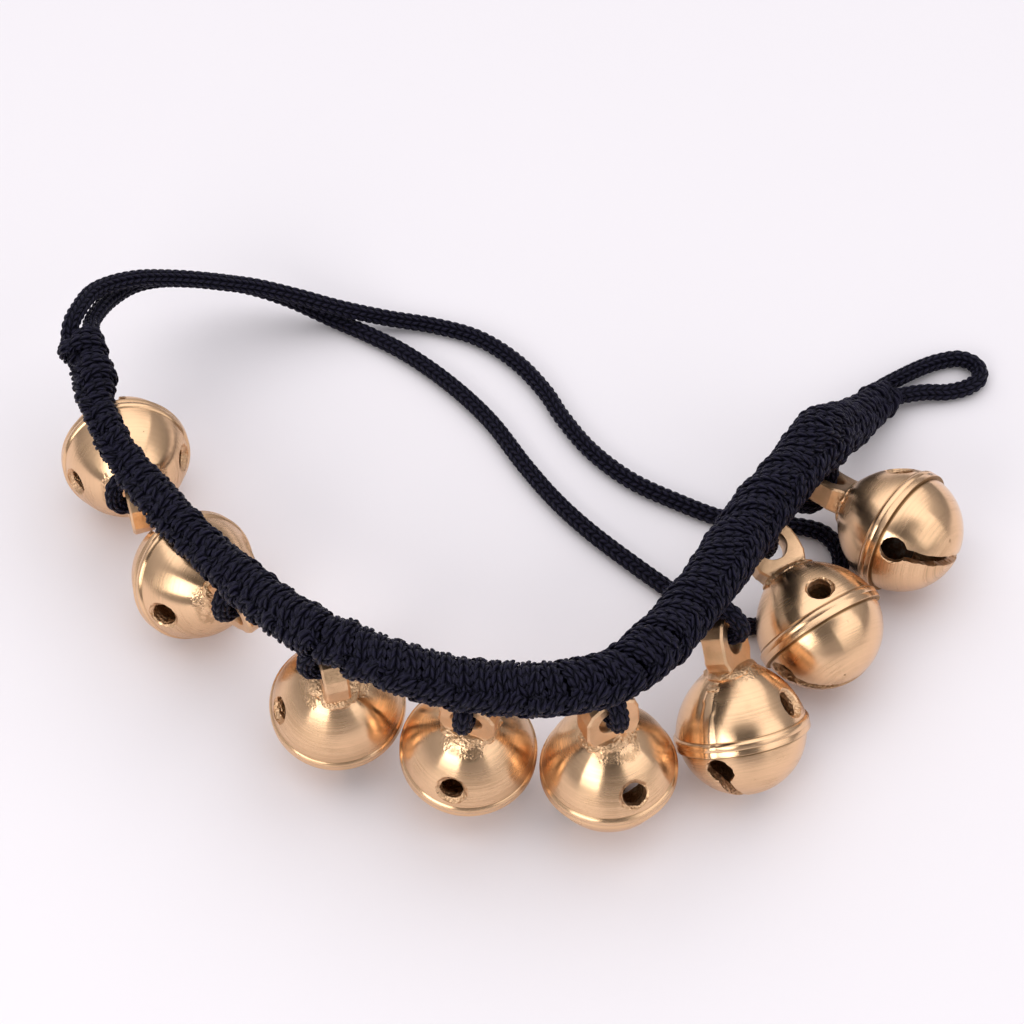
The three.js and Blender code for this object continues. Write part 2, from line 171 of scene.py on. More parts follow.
# Lug: its outline about its eye, in millimetres, from the right foot round the head to the left foot
LUG_OUTLINE = [
    (4.2, -7.2), (4.2, -5.7), (5.3, -3.6), (5.3, 1.3), (4.3, 3.5), (2.0, 5.2),
    (-2.0, 5.2), (-4.3, 3.5), (-5.3, 1.3), (-5.3, -3.6), (-4.2, -5.7), (-4.2, -7.2),
]
EYE_HEIGHT = 18 * MM
EYE_DIAMETER = 5.8 * MM
LUG_STEPS = 72
LUG_BEVEL = 0.4 * MM
LUG_WAIST = 3 * MM
LUG_FLARE = 0.12
LUG_WEAR = 0.16 * MM
LUG_WEAR_SCALE = 420
LUG_SIDE_WEAR = 0.6
ANGLE_DIGITS = 4
PARALLEL = 1e-12
CORNER_SLACK = 1e-6

# Crumbly pad at the foot of the lug
PAD_SIZE = (5.8 * MM, 4.9 * MM, 1.7 * MM)
PAD_HEIGHT = 11.7 * MM
PAD_SIDES = 56
PAD_ROWS = 18
PAD_LAYERS = [(330, 0.12), (1100, 0.10)]

# Pellet
PELLET_DROP = 6.1 * MM
PELLET_FINENESS = 4
PELLET_SHRINK = 0.02
PELLET_WOBBLE = 0.025
PELLET_SCALE = 500

# Knitted cord: its stitches, the spacing and sides of its rings, and how far it runs into the band
STITCH_SLANT = 0.6
STITCH_LEVEL = 0.9
CORD_STEP = 0.28 * MM
LOOP_STEP = 0.3 * MM
HITCH_STEP = 0.34 * MM
CORD_SIDES = 48
HITCH_SIDES = 40
CORE_SIDES = 12
CORD_TAIL = 2.6 * MM

# Hanging loops
LUG_FIT = 0.3 * MM
LOOP_FIT = 0.45 * MM
LOOP_SINK = 2 * MM
LUG_HEAD_WEAR = 0.1 * MM
WRAP_STEPS = 7
LOOP_END_DRAW = 0.6
LOOP_SIDE_DRAW = 0.12

# Hitched cover of the band: places are shares of the band's length
COVER_PIECES = 3
COVER_SEED = 11
COVER_TWIST_SEED = 17
COVER_THICKNESS = 2.5 * MM
COVER_WALES = 4
COVER_DEPTH = 1.6
COVER_TWIST = 2.2
TWIST_SCALE = 140
PITCH_PLACES = (0.0, 0.22, 0.55, 0.75, 1.0)
START_PITCH = 2.9 * MM
END_PITCH = 2.4 * MM
LEAN_SHARES = [(0.0, 0.5), (0.5, 1.0), (0.75, 2.0), (0.95, 0.8)]
SEAM_ANGLE = math.radians(36)
CORE_STEP = 1 * MM
CORE_SPREAD = 0.16
CORE_SHARE = 0.4

# One hitch: what chance moves, how it is drawn along the band and crosses itself, and how the ends tuck in
HITCH_STEPS = 40
PITCH_LUCK = (0.92, 1.08)
LEAN_LUCK = (0.85, 1.15)
SEAM_LUCK = (-0.3, 0.3)
SWELL_LUCK = (-0.25 * MM, 0.2 * MM)
WIDTH_LUCK = (0.54, 0.68)
DRAW_POWER = 1.4
DRAW_LEVEL = 0.4
CROSS_TURN = 0.93
CROSS_REACH = 0.06
CROSS_RISE = 0.5 * MM
CROSS_DIP = 0.7
TUCK_DEPTH = 3 * MM
TUCK_KNOTS = 10

# Turns that bind the band's ends: length along the band, seeds, lean, pitch and rise over the cover
Binding = namedtuple("Binding", "length seed twist_seed lean pitch rise")
COLLAR = Binding(5.2 * MM, 5, 16, 0.4 * MM, 2.6 * MM, 1.3 * MM)
WHIPPING = Binding(8 * MM, 7, 19, 0.6 * MM, 2.3 * MM, 0.0)
BINDING_GAP = 1 * MM

# Bulges in the band over tucked cord ends: place along the band, reach, rise and the way they face
BULGES = [
    (10 * MM, 4.5 * MM, 2.3 * MM, math.radians(155)),
    (238 * MM, 6.5 * MM, 1.2 * MM, math.radians(150)),
]

# Camera, as fitted to the photograph, and the stage
CAMERA_TARGET = Vector((0.9, 16.75, 12)) * MM
CAMERA_ELEVATION = math.radians(54)
CAMERA_WAY = Vector((0, -math.cos(CAMERA_ELEVATION), math.sin(CAMERA_ELEVATION)))
CAMERA_DISTANCE = 520 * MM
CAMERA_LENS = 91.1
CAMERA_CLIP = 10 * MM
FLOOR_HALF = 2.5
Lamp = namedtuple("Lamp", "name place size power color")
LAMPS = [
    Lamp("window", (-0.37, -0.56, 0.40), (0.44, 0.40), 1.95, (1.0, 0.985, 0.97)),
    Lamp("ceiling", (-0.05, 0.40, 1.00), (2.0, 1.7), 9.0, (1.0, 0.985, 0.99)),
    Lamp("fill", (0.66, -0.36, 0.46), (0.8, 0.6), 1.4, (1.0, 0.985, 0.99)),
]
ROOM_COLOR = (0.96, 0.95, 1.0, 1.0)
ROOM_LEVEL = 0.24
SKY_RISE = 0.55
ONLOOKER_SPAN = (0.84, 0.96)
ONLOOKER_SHADE = 0.85


def length(name, description, millimetres):
    default = millimetres * MM
    return bpy.props.FloatProperty(name=name, description=description, default=default, unit="LENGTH")


def color(name, description, default):
    return bpy.props.FloatVectorProperty(
        name=name, description=description, default=default, size=len(default), subtype="COLOR")


class BellSizes(bpy.types.PropertyGroup):
    """Sizes of one bell."""

    rim_diameter: length("Rim Diameter", "Width of the bell across its rim", 26)
    hole_diameter: length("Hole Diameter", "Width of the two round holes in the dome", 5.6)
    slit_width: length("Slit Width", "Width of the slit across the bowl", 2.1)
    slit_end_diameter: length("Slit End Diameter", "Width of the round ends of the slit", 5.2)
    lug_thickness: length("Lug Thickness", "Thickness of the lug at its head", 4.6)
    cast_roughness: length("Cast Roughness", "How far cast edges wander", 0.28)
    pellet_diameter: length("Pellet Diameter", "Width of the loose pellet", 7.2)


class CordSizes(bpy.types.PropertyGroup):
    """Sizes of the knitted cord and of the hitches made with it."""

    diameter: length("Cord Diameter", "Thickness of the knitted cord", 3.6)
    wales: bpy.props.IntProperty(
        name="Wales", description="Columns of stitches round the cord", default=5, min=3)
    stitch_length: length("Stitch Length", "Length of one stitch along the cord", 1.7)
    stitch_depth: length("Stitch Depth", "How far the stitches stand out", 0.55)
    hitch_pitch: length("Hitch Pitch", "Spacing of the hitches in the middle of the band", 3.1)
    tight_pitch: length("Tight Pitch", "Spacing of the hitches at the right end", 2.8)
    hitch_lean: length("Hitch Lean", "How far a hitch is drawn along the band at the seam", 4.4)


class Finishes(bpy.types.PropertyGroup):
    """Colours of the anklet and of its stage."""

    brass: color("Brass", "Turned brass", (0.86, 0.56, 0.33))
    # The tarnish colour also serves as the painted shade inside the bells
    tarnish: color("Tarnish", "Darkened brass in the grooves", (0.30, 0.17, 0.075))
    iron: color("Iron", "Cast pellet", (0.16, 0.15, 0.14))
    yarn: color("Yarn", "Black yarn", (0.0056, 0.0049, 0.0132))
    floor: color("Floor", "Pale table", (0.90, 0.868, 0.895))


def bells():
    return bpy.context.scene.anklet_bells


def cords():
    return bpy.context.scene.anklet_cords


def finishes():
    return bpy.context.scene.anklet_finishes


# Paths

Knot = namedtuple("Knot", "point share outward flat", defaults=(1.0, UP, 1.0))


class Route:
    """A smooth curve through points, walked by its length."""

    SPAN_STEPS = 48
    REACH = 0.6 * MM

    def __init__(self, points):
        ends = [2 * points[0] - points[1], *points, 2 * points[-1] - points[-2]]
        self.places = []
        for span in zip(ends, ends[1:], ends[2:], ends[3:]):
            self.places += [self.bend(*span, i / self.SPAN_STEPS) for i in range(self.SPAN_STEPS)]
        self.places.append(points[-1].copy())
        self.lengths = [0.0]
        for a, b in zip(self.places, self.places[1:]):
            self.lengths.append(self.lengths[-1] + (b - a).length)
        self.length = self.lengths[-1]
        self.knots = self.lengths[::self.SPAN_STEPS]

    @staticmethod
    def bend(before, start, end, after, share):
        """A point between start and end on a centripetal spline through the four."""
        gaps = [math.sqrt((b - a).length) for a, b in ((before, start), (start, end), (end, after))]
        first = (start - before) / gaps[0] - (end - before) / (gaps[0] + gaps[1]) + (end - start) / gaps[1]
        last = (end - start) / gaps[1] - (after - start) / (gaps[1] + gaps[2]) + (after - end) / gaps[2]
        pull = first * gaps[1]
        push = last * gaps[1]
        square = (3 * (end - start) - 2 * pull - push) * share ** 2
        cube = (2 * (start - end) + pull + push) * share ** 3
        return start + pull * share + square + cube

    def at(self, along):
        along = min(max(along, 0), self.length)
        low = min(bisect.bisect_right(self.lengths, along), len(self.places) - 1) - 1
        share = (along - self.lengths[low]) / (self.lengths[low + 1] - self.lengths[low])
        return self.places[low].lerp(self.places[low + 1], share)

    def direction(self, along):
        return (self.at(along + self.REACH) - self.at(along - self.REACH)).normalized()

    def walk(self, step):
        count = round(self.length / step)
        return [Knot(self.at(self.length * i / count)) for i in range(count + 1)]


def bell_places():
    """Centre and turn of every bell. The pellet lies straight under its bell's centre."""
    places = []
    for number, lie in enumerate(BELL_LIES, start=1):
        low, high = (Vector(corner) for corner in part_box(f"pellet_{number}"))
        heading = Quaternion(UP, math.radians(lie.heading))
        tilt = Quaternion((0, 1, 0), math.radians(90 - lie.rise))
        roll = Quaternion(UP, math.radians(lie.roll))
        places.append(((low + high) / 2 + PELLET_DROP * UP, heading @ tilt @ roll))
    return places


def swing_points():
    """Where each loop meets the middle of the band, from the frame's joints."""
    joints = {joint["name"]: joint for joint in frame["joints"]}
    return [Vector(joints[f"bell_swing_{number}"]["pos_m"]) for number in range(1, len(BELL_LIES) + 1)]


def between(rows, at):
    """The value at a place in a rising list of (place, value) rows."""
    for (low, first), (high, last) in zip(rows, rows[1:]):
        if at <= high:
            return first + (last - first) * max(at - low, 0.0) / (high - low)
    return rows[-1][1]


class Band:
    """The band's middle line and its radius along it."""

    def __init__(self):
        anchors = swing_points()
        left = [(anchors[0] + Vector(step) * MM, radius * MM) for step, radius in LEFT_RUN]
        right = [(anchors[-1] + Vector(step) * MM, radius * MM) for step, radius in RIGHT_RUN]
        middle = [(anchor, lie.band_radius * MM) for anchor, lie in zip(anchors, BELL_LIES)]
        stations = [*left, *middle, *right]
        self.route = Route([point for point, _ in stations])
        self.radii = list(zip(self.route.knots, (radius for _, radius in stations)))
        self.length = self.route.length

    def radius(self, along):
        return between(self.radii, along)

    def facing(self, along, angle):
        """A direction across the band: angle 0 faces out to the bells, and a quarter turn faces up."""
        forward = self.route.direction(along)
        outward = forward.cross(UP).normalized()
        return math.cos(angle) * outward + math.sin(angle) * outward.cross(forward)


# Node helpers

Grain = namedtuple("Grain", "scale detail roughness", defaults=(2.0, 0.5))


class Graph:
    """Adds nodes to a tree and joins them, so that a formula reads as calls."""

    def __init__(self, tree):
        self.tree = tree

    def node(self, kind, **settings):
        node = self.tree.nodes.new(kind)
        for name, value in settings.items():
            setattr(node, name, value)
        return node

    def feed(self, socket, value):
        if isinstance(value, bpy.types.NodeSocket):
            self.tree.links.new(value, socket)
        else:
            socket.default_value = value

    def fill(self, node, inputs):
        for name, value in inputs.items():
            self.feed(node.inputs[name], value)

    def use(self, kind, inputs, **settings):
        node = self.node(kind, **settings)
        self.fill(node, inputs)
        return node.outputs

    def math(self, operation, *values):
        return self.use("ShaderNodeMath", dict(enumerate(values)), operation=operation)["Value"]

    def vector(self, operation, *values, output="Vector"):
        return self.use("ShaderNodeVectorMath", dict(enumerate(values)), operation=operation)[output]

    def times(self, *values):
        return functools.reduce(functools.partial(self.math, "MULTIPLY"), values)

    def largest(self, *values):
        return functools.reduce(functools.partial(self.math, "MAXIMUM"), values)

    def linear(self, value, factor, start):
        return self.math("MULTIPLY_ADD", value, factor, start)

    def scaled(self, vector, factor):
        inputs = {"Vector": vector, "Scale": factor}
        return self.use("ShaderNodeVectorMath", inputs, operation="SCALE")["Vector"]

    def parts(self, vector):
        return self.use("ShaderNodeSeparateXYZ", {"Vector": vector})

    def joined(self, **parts):
        return self.use("ShaderNodeCombineXYZ", parts)["Vector"]

    def ramp(self, value, span):
        """0 at the span's first value, 1 at its second, smooth between."""
        inputs = {"Value": value, "From Min": span[0], "From Max": span[1]}
        return self.use("ShaderNodeMapRange", inputs, interpolation_type="SMOOTHSTEP")["Result"]

    def mixed(self, factor, first, second):
        """A colour between two colours, each a socket or three numbers."""
        node = self.node("ShaderNodeMix", data_type="RGBA")
        sockets = {socket.identifier: socket for socket in (*node.inputs, *node.outputs)}
        self.feed(sockets["Factor_Float"], factor)
        for name, value in (("A_Color", first), ("B_Color", second)):
            self.feed(sockets[name], value if isinstance(value, bpy.types.NodeSocket) else (*value, 1.0))
        return sockets["Result_Color"]

    def noise(self, vector, grain):
        settings = {name.title(): value for name, value in grain._asdict().items()}
        return self.use("ShaderNodeTexNoise", {"Vector": vector, **settings})["Fac"]

    def bump(self, height, strength):
        return self.use("ShaderNodeBump", {"Strength": strength, "Distance": MM, "Height": height})["Normal"]

    def attribute(self, name):
        return self.node("ShaderNodeAttribute", attribute_name=name).outputs["Vector"]

    def object_place(self):
        return self.node("ShaderNodeTexCoord").outputs["Object"]

    def stored(self, geometry, name, value, data_type="FLOAT"):
        inputs = {"Geometry": geometry, "Name": name, "Value": value}
        return self.use("GeometryNodeStoreNamedAttribute", inputs, data_type=data_type)["Geometry"]

    def read(self, name):
        return self.use("GeometryNodeInputNamedAttribute", {"Name": name})["Attribute"]


def made_once(store, name):
    """Has a function make its material or node tree once, and gives back the same one afterwards."""
    def remembering(make):
        @functools.wraps(make)
        def found():
            return getattr(bpy.data, store).get(name) or make(name)
        return found
    return remembering


def interface(tree, direction, **sockets):
    for name, kind in sockets.items():
        tree.interface.new_socket(name.replace("_", " ").title(), in_out=direction, socket_type=kind)


# Pieces

def plain_mesh(holder):
    graph = bpy.context.evaluated_depsgraph_get()
    shape = holder.evaluated_get(graph)
    return bpy.data.meshes.new_from_object(shape, preserve_all_data_layers=True, depsgraph=graph)


def add_piece(name, mesh):
    mesh.name = name
    piece = bpy.data.objects.new(name, mesh)
    bpy.context.collection.objects.link(piece)
    return piece


def settle(piece, body, node):
    """Ties a piece to its body, and hides the node that it stands for."""
    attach(piece, body)
    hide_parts(node)


# Knitted cord

def strand_profile(graph, value):
    """Height of a round strand, once for every whole number."""
    place = graph.linear(graph.math("FRACT", value), 2.0, -1.0)
    return graph.math("SQRT", graph.math("SUBTRACT", 1.0, graph.times(place, place)))


def stitches(graph, column, along, stitch):
    """Height and count of knitted V stitches, at a share of their column's width and a place along it."""
    edge = graph.math("ABSOLUTE", graph.linear(column, 2.0, -1.0))
    count = graph.linear(edge, STITCH_SLANT, graph.math("DIVIDE", along, stitch))
    legs = strand_profile(graph, graph.times(column, 2.0))
    return graph.times(legs, strand_profile(graph, count)), count


@made_once("node_groups", "knitted_cord")
def knit_tree(name):
    """Geometry nodes that knit a tube of V stitches along a curve."""
    tree = bpy.data.node_groups.new(name, "GeometryNodeTree")
    interface(tree, "INPUT", geometry="NodeSocketGeometry", radius="NodeSocketFloat", wales="NodeSocketInt",
              stitch_length="NodeSocketFloat", stitch_depth="NodeSocketFloat", sides="NodeSocketInt",
              material="NodeSocketMaterial")
    interface(tree, "OUTPUT", geometry="NodeSocketGeometry")
    graph = Graph(tree)
    given = graph.node("NodeGroupInput").outputs
    spline = graph.node("GeometryNodeSplineParameter").outputs
    line = graph.stored(given["Geometry"], "along", spline["Length"])
    circle = {"Resolution": given["Sides"], "Radius": given["Radius"]}
    outline = graph.use("GeometryNodeCurvePrimitiveCircle", circle)["Curve"]
    ring = graph.stored(outline, "around", spline["Factor"])
    sweep = {"Curve": line, "Profile Curve": ring, "Fill Caps": True}
    tube = graph.use("GeometryNodeCurveToMesh", sweep)["Mesh"]
    place = graph.read("along")
    columns = graph.times(graph.read("around"), given["Wales"])
    height, _ = stitches(graph, graph.math("FRACT", columns), place, given["Stitch Length"])
    lift = graph.times(graph.math("SUBTRACT", height, STITCH_LEVEL), given["Stitch Depth"])
    offset = graph.scaled(graph.node("GeometryNodeInputNormal").outputs["Normal"], lift)
    knitted = graph.use("GeometryNodeSetPosition", {"Geometry": tube, "Offset": offset})["Geometry"]
    angle = graph.times(columns, math.tau)
    strand = graph.joined(X=graph.math("COSINE", angle), Y=graph.math("SINE", angle), Z=place)
    kept = graph.stored(knitted, "strand", strand, data_type="FLOAT_VECTOR")
    smooth = graph.use("GeometryNodeSetShadeSmooth", {"Geometry": kept})["Geometry"]
    whole = graph.use("GeometryNodeRealizeInstances", {"Geometry": smooth})["Geometry"]
    dressed = {"Geometry": whole, "Material": given["Material"]}
    done = graph.use("GeometryNodeSetMaterial", dressed)["Geometry"]
    graph.fill(graph.node("NodeGroupOutput"), {"Geometry": done})
    return tree


def knit(name, node, paths, sides, body=ROOT_BODY, twist_seed=None):
    """One piece of knitted cord along paths of knots. A hitched cord has a seed for how it twists."""
    hitched = twist_seed is not None
    sizes = cords()
    line = bpy.data.curves.new(name, "CURVE")
    line.dimensions = "3D"
    for path in paths:
        spline = line.splines.new("POLY")
        spline.points.add(len(path) - 1)
        for end, knot in zip(spline.points, path):
            end.co = (*knot.point, 1.0)
            end.radius = knot.share
            end.tilt = COVER_TWIST * wander(knot.point, TWIST_SCALE, twist_seed) if hitched else 0.0
    holder = bpy.data.objects.new(name, line)
    bpy.context.collection.objects.link(holder)
    modifier = holder.modifiers.new("knit", "NODES")
    modifier.node_group = knit_tree()
    values = {
        "Radius": sizes.diameter / 2,
        "Wales": COVER_WALES if hitched else sizes.wales,
        "Stitch Length": sizes.stitch_length,
        "Stitch Depth": sizes.stitch_depth * (COVER_DEPTH if hitched else 1),
        "Sides": sides,
        "Material": black_yarn(),
    }
    for socket in modifier.node_group.interface.items_tree:
        if socket.name in values:
            modifier[socket.identifier] = values[socket.name]
    mesh = plain_mesh(holder)
    bpy.data.objects.remove(holder)
    bpy.data.curves.remove(line)
    press(mesh, [knot for path in paths for knot in path], sides)
    piece = add_piece(name, mesh)
    settle(piece, body, node)
    return piece


def press(mesh, knots, sides):
    """Flattens each ring of a tube along its knot's outward direction."""
    for i, knot in enumerate(knots):
        for vert in mesh.vertices[i * sides:(i + 1) * sides]:
            offset = vert.co - knot.point
            vert.co -= (1 - knot.flat) * offset.dot(knot.outward) * knot.outward


# Materials

def surface(make):
    """Makes the material of a function's name, once, from the shader inputs that the function gives."""
    @made_once("materials", make.__name__)
    def found(name):
        material = bpy.data.materials.new(name)
        material.use_nodes = True
        shader = next(node for node in material.node_tree.nodes if node.type == "BSDF_PRINCIPLED")
        graph = Graph(material.node_tree)
        graph.fill(shader, make(graph))
        return material
    return found


def shared_group(make):
    """Puts the values that a function makes at a place into a shader group, which every material shares."""
    @made_once("node_groups", make.__name__)
    def group(name):
        tree = bpy.data.node_groups.new(name, "ShaderNodeTree")
        interface(tree, "INPUT", place="NodeSocketVector")
        graph = Graph(tree)
        values = make(graph, graph.node("NodeGroupInput").outputs["Place"])
        interface(tree, "OUTPUT", **dict.fromkeys(values, "NodeSocketFloat"))
        graph.fill(graph.node("NodeGroupOutput"), values)
        return tree

    def outputs(graph, place):
        return graph.use("ShaderNodeGroup", {"Place": place}, node_tree=group())
    return outputs


def shaded(tone, share):
    return tuple(channel * share for channel in tone)


# Casting grain and tarnish
CRUMB_SCALE = 2100.0
CRUMB_SHARE = 0.6
MOULD_GRAIN = Grain(700.0, 4.0, 0.65)
PIT_SPAN = (0.62, 0.40)
CLOUD_GRAIN = Grain(130.0, 4.0, 0.6)
CLOUD_SPAN = (0.42, 0.75)
SPECK_GRAIN = Grain(620.0, 3.0, 0.6)
SPECK_SPAN = (0.70, 0.77)


@shared_group
def cast_grain(graph, place):
    """The crumbs and pits of a sand casting, in brass and iron."""
    cells = {"Vector": place, "Scale": CRUMB_SCALE}
    crumb = graph.use("ShaderNodeTexVoronoi", cells, feature="SMOOTH_F1")["Distance"]
    coarse = graph.noise(place, MOULD_GRAIN)
    return {"Height": graph.linear(crumb, CRUMB_SHARE, coarse), "Pits": graph.ramp(coarse, PIT_SPAN)}


@shared_group
def tarnish(graph, place):
    """Dull clouds and a few dark specks, on turned and cast brass."""
    return {
        "Clouds": graph.ramp(graph.noise(place, CLOUD_GRAIN), CLOUD_SPAN),
        "Specks": graph.ramp(graph.noise(place, SPECK_GRAIN), SPECK_SPAN),
    }


# Turned brass: its lines and patches, the rough pad under the lug, its stains, roughness and relief
LINE_WANDER = 0.02
FINE_LINES = Grain(3000.0, 3.0, 0.7)
BROAD_LINES = Grain(640.0)
PATCH_GRAIN = Grain(110.0)
PATCH_SPAN = (0.35, 0.68)
PAD_EDGE_GRAIN = Grain(420.0, 3.0)
PAD_EDGE_REACH = 2.4 * MM
PAD_RADIUS_SPAN = (8.3 * MM, 7.4 * MM)
PAD_SIDE_SPAN = (4.8 * MM, 3.6 * MM)
PAD_RISE_SPAN = (8.4 * MM, 9.4 * MM)
STEP_STAIN_REACH = 0.6 * MM
STEP_STAIN_SPAN = (-RIM_LOW - STEP_STAIN_REACH, -RIM_LOW - STEP_DEPTH)
STEP_END_SPAN = (EDGE_ROUND - RIM_LOW, -RIM_LOW)
LINE_STAIN_SPAN = (RIM_HIGH - TURNED_LINE, RIM_HIGH + TURNED_LINE)
LINE_END_SPAN = (RIM_HIGH + 4 * TURNED_LINE, RIM_HIGH + 2 * TURNED_LINE)
GROOVE_RADIUS_SPAN = (11.2 * MM, 11.6 * MM)
LINE_STAIN = 0.45
SPECK_STAIN = 0.6
CLOUD_STAIN = 0.14
PAD_STAIN = 0.45
STREAK_SPAN = (0.42, 0.72)
STREAK_DEPTH = (0.30, 0.08)
BRASS_ROUGHNESS = 0.15
BROAD_ROUGHNESS = 0.12
PATCH_ROUGHNESS = 0.06
STAIN_ROUGHNESS = 0.18
ANISOTROPY = 0.88
QUARTER_TURN = 0.25
FINE_MIDDLE = 0.5
FINE_DEPTH = (0.7, 0.3)
FINE_RELIEF = 0.045
BROAD_RELIEF = 0.035
PAD_LEVEL = 0.85
PAD_RELIEF = 0.22
TURNED_BUMP = 0.6


@surface
def turned_brass(graph):
    """Brass with fine lines round the bell's axis, tarnish in the grooves and a rough pad under the lug."""
    place = graph.attribute("bell")
    x, _, z = graph.parts(place)
    radius = graph.vector("LENGTH", graph.vector("MULTIPLY", place, (1.0, 1.0, 0.0)), output="Value")
    lines = graph.vector("ADD", graph.joined(X=radius, Y=z), graph.scaled(place, LINE_WANDER))
    fine = graph.noise(lines, FINE_LINES)
    broad = graph.noise(lines, BROAD_LINES)
    patches = graph.ramp(graph.noise(place, PATCH_GRAIN), PATCH_SPAN)
    dulled = tarnish(graph, place)
    grain = cast_grain(graph, place)
    pad_edge = graph.linear(graph.noise(place, PAD_EDGE_GRAIN), PAD_EDGE_REACH, radius)
    pad_side = graph.ramp(graph.math("ABSOLUTE", x), PAD_SIDE_SPAN)
    pad = graph.times(graph.ramp(pad_edge, PAD_RADIUS_SPAN), pad_side, graph.ramp(z, PAD_RISE_SPAN))
    step = graph.times(graph.ramp(z, STEP_STAIN_SPAN), graph.ramp(z, STEP_END_SPAN))
    line = graph.times(graph.ramp(z, LINE_STAIN_SPAN), graph.ramp(z, LINE_END_SPAN), LINE_STAIN)
    stain = graph.largest(
        graph.times(graph.largest(step, line), graph.ramp(radius, GROOVE_RADIUS_SPAN)),
        graph.times(dulled["Specks"], SPECK_STAIN),
        graph.times(dulled["Clouds"], CLOUD_STAIN),
        graph.times(pad, grain["Pits"], PAD_STAIN),
    )
    streak = graph.times(graph.ramp(fine, STREAK_SPAN), graph.linear(patches, *STREAK_DEPTH))
    dark = graph.math("MINIMUM", graph.math("ADD", stain, streak), 1.0)
    rough = graph.linear(broad, BROAD_ROUGHNESS, BRASS_ROUGHNESS)
    rough = graph.linear(patches, PATCH_ROUGHNESS, rough)
    scratch = graph.times(graph.math("SUBTRACT", fine, FINE_MIDDLE), graph.linear(patches, *FINE_DEPTH))
    height = graph.linear(scratch, FINE_RELIEF, graph.times(broad, BROAD_RELIEF))
    crumb = graph.times(graph.math("SUBTRACT", grain["Height"], PAD_LEVEL), pad)
    tangent = graph.node("ShaderNodeTangent", direction_type="UV_MAP", uv_map="turning")
    return {
        "Base Color": graph.mixed(dark, finishes().brass, finishes().tarnish),
        "Roughness": graph.linear(dark, STAIN_ROUGHNESS, rough),
        "Metallic": 1.0,
        "Anisotropic": ANISOTROPY,
        "Anisotropic Rotation": QUARTER_TURN,
        "Tangent": tangent.outputs["Tangent"],
        "Normal": graph.bump(graph.linear(crumb, PAD_RELIEF, height), TURNED_BUMP),
    }


# Cast brass: the lug is filed, and what lies below it is as it left the mould
LUG_SPAN = (12.2 * MM, 13.6 * MM)
FILE_STRETCH = (1.0, 1.0, 9.0)
FILE_GRAIN = Grain(900.0, 3.0, 0.65)
FILE_SPAN = (0.55, 0.75)
# Painted shade: how far inside the bell its colour darkens, and how much
INSIDE_SPAN = (10.75 * MM, 10.35 * MM)
INSIDE_SHADE = 0.9
CAST_CLOUD_STAIN = 0.35
CAST_PIT_STAIN = 0.4
FILE_STAIN = 0.25
CAST_ROUGHNESS = (0.18, 0.26)
CAST_RELIEF = (0.42, 0.05)
FILE_RELIEF = 0.10
CAST_BUMP = 0.8


@surface
def cast_brass(graph):
    """Rough cast brass: the lug, the edges of the openings and the inside, whose colour is darkened as
    painted shade.
    """
    place = graph.attribute("bell")
    grain = cast_grain(graph, place)
    body = graph.math("SUBTRACT", 1.0, graph.ramp(graph.parts(place)["Z"], LUG_SPAN))
    filed = graph.noise(graph.vector("MULTIPLY", place, FILE_STRETCH), FILE_GRAIN)
    # Painted shade: the inside of the bell, seen through the openings, is painted dark
    inside = graph.ramp(graph.vector("LENGTH", place, output="Value"), INSIDE_SPAN)
    dark = graph.largest(
        graph.times(inside, INSIDE_SHADE),
        graph.times(tarnish(graph, place)["Clouds"], CAST_CLOUD_STAIN),
        graph.times(grain["Pits"], body, CAST_PIT_STAIN),
        graph.times(graph.ramp(filed, FILE_SPAN), FILE_STAIN),
    )
    height = graph.times(grain["Height"], graph.linear(body, *CAST_RELIEF))
    return {
        "Base Color": graph.mixed(dark, finishes().brass, finishes().tarnish),
        "Roughness": graph.linear(filed, *CAST_ROUGHNESS),
        "Metallic": 1.0,
        "Normal": graph.bump(graph.linear(filed, FILE_RELIEF, height), CAST_BUMP),
    }


# Iron
RUST_SHARES = (0.9, 0.55, 0.35)
IRON_METAL = 0.9
IRON_ROUGHNESS = (0.25, 0.5)
IRON_RELIEF = 0.15
IRON_BUMP = 0.6


@surface
def cast_iron_shot(graph):
    """Dull cast pellet."""
    grain = cast_grain(graph, graph.object_place())
    iron = finishes().iron
    rust = tuple(channel * share for channel, share in zip(iron, RUST_SHARES))
    return {
        "Base Color": graph.mixed(grain["Pits"], iron, rust),
        "Roughness": graph.linear(grain["Pits"], *IRON_ROUGHNESS),
        "Metallic": IRON_METAL,
        "Normal": graph.bump(graph.times(grain["Height"], IRON_RELIEF), IRON_BUMP),
    }


# Yarn: filaments for each stitch, each width of a column and each metre of cord, the painted shade between
# the stitches, the painted highlight on their crests, and how they catch the light
FILAMENT_TURNS = 7.0
FILAMENT_WIDTHS = 2.5
FILAMENT_RATE = 300.0
FILAMENT_GRAIN = Grain(1.0, 2.0, 0.6)
FILAMENT_SPAN = (0.48, 0.70)
CLUMP_GRAIN = Grain(420.0)
CLUMP_LIGHT = (0.7, 0.15)
CREST_SPAN = (0.30, 0.95)
CREVICE_SHADE_SHARE = 0.25
CREST_HIGHLIGHT_SHARE = 3.2
YARN_ROUGHNESS = (0.3, 0.3)
YARN_SPECULAR = 0.22
YARN_SPECULAR_TINT = (0.74, 0.72, 1.0, 1.0)
YARN_SHEEN = 0.02
YARN_SHEEN_ROUGHNESS = 0.4
YARN_SHEEN_TINT = (0.75, 0.78, 1.0, 1.0)
FILAMENT_RELIEF = 0.10
STITCH_RELIEF = 0.5
YARN_BUMP = 1.0


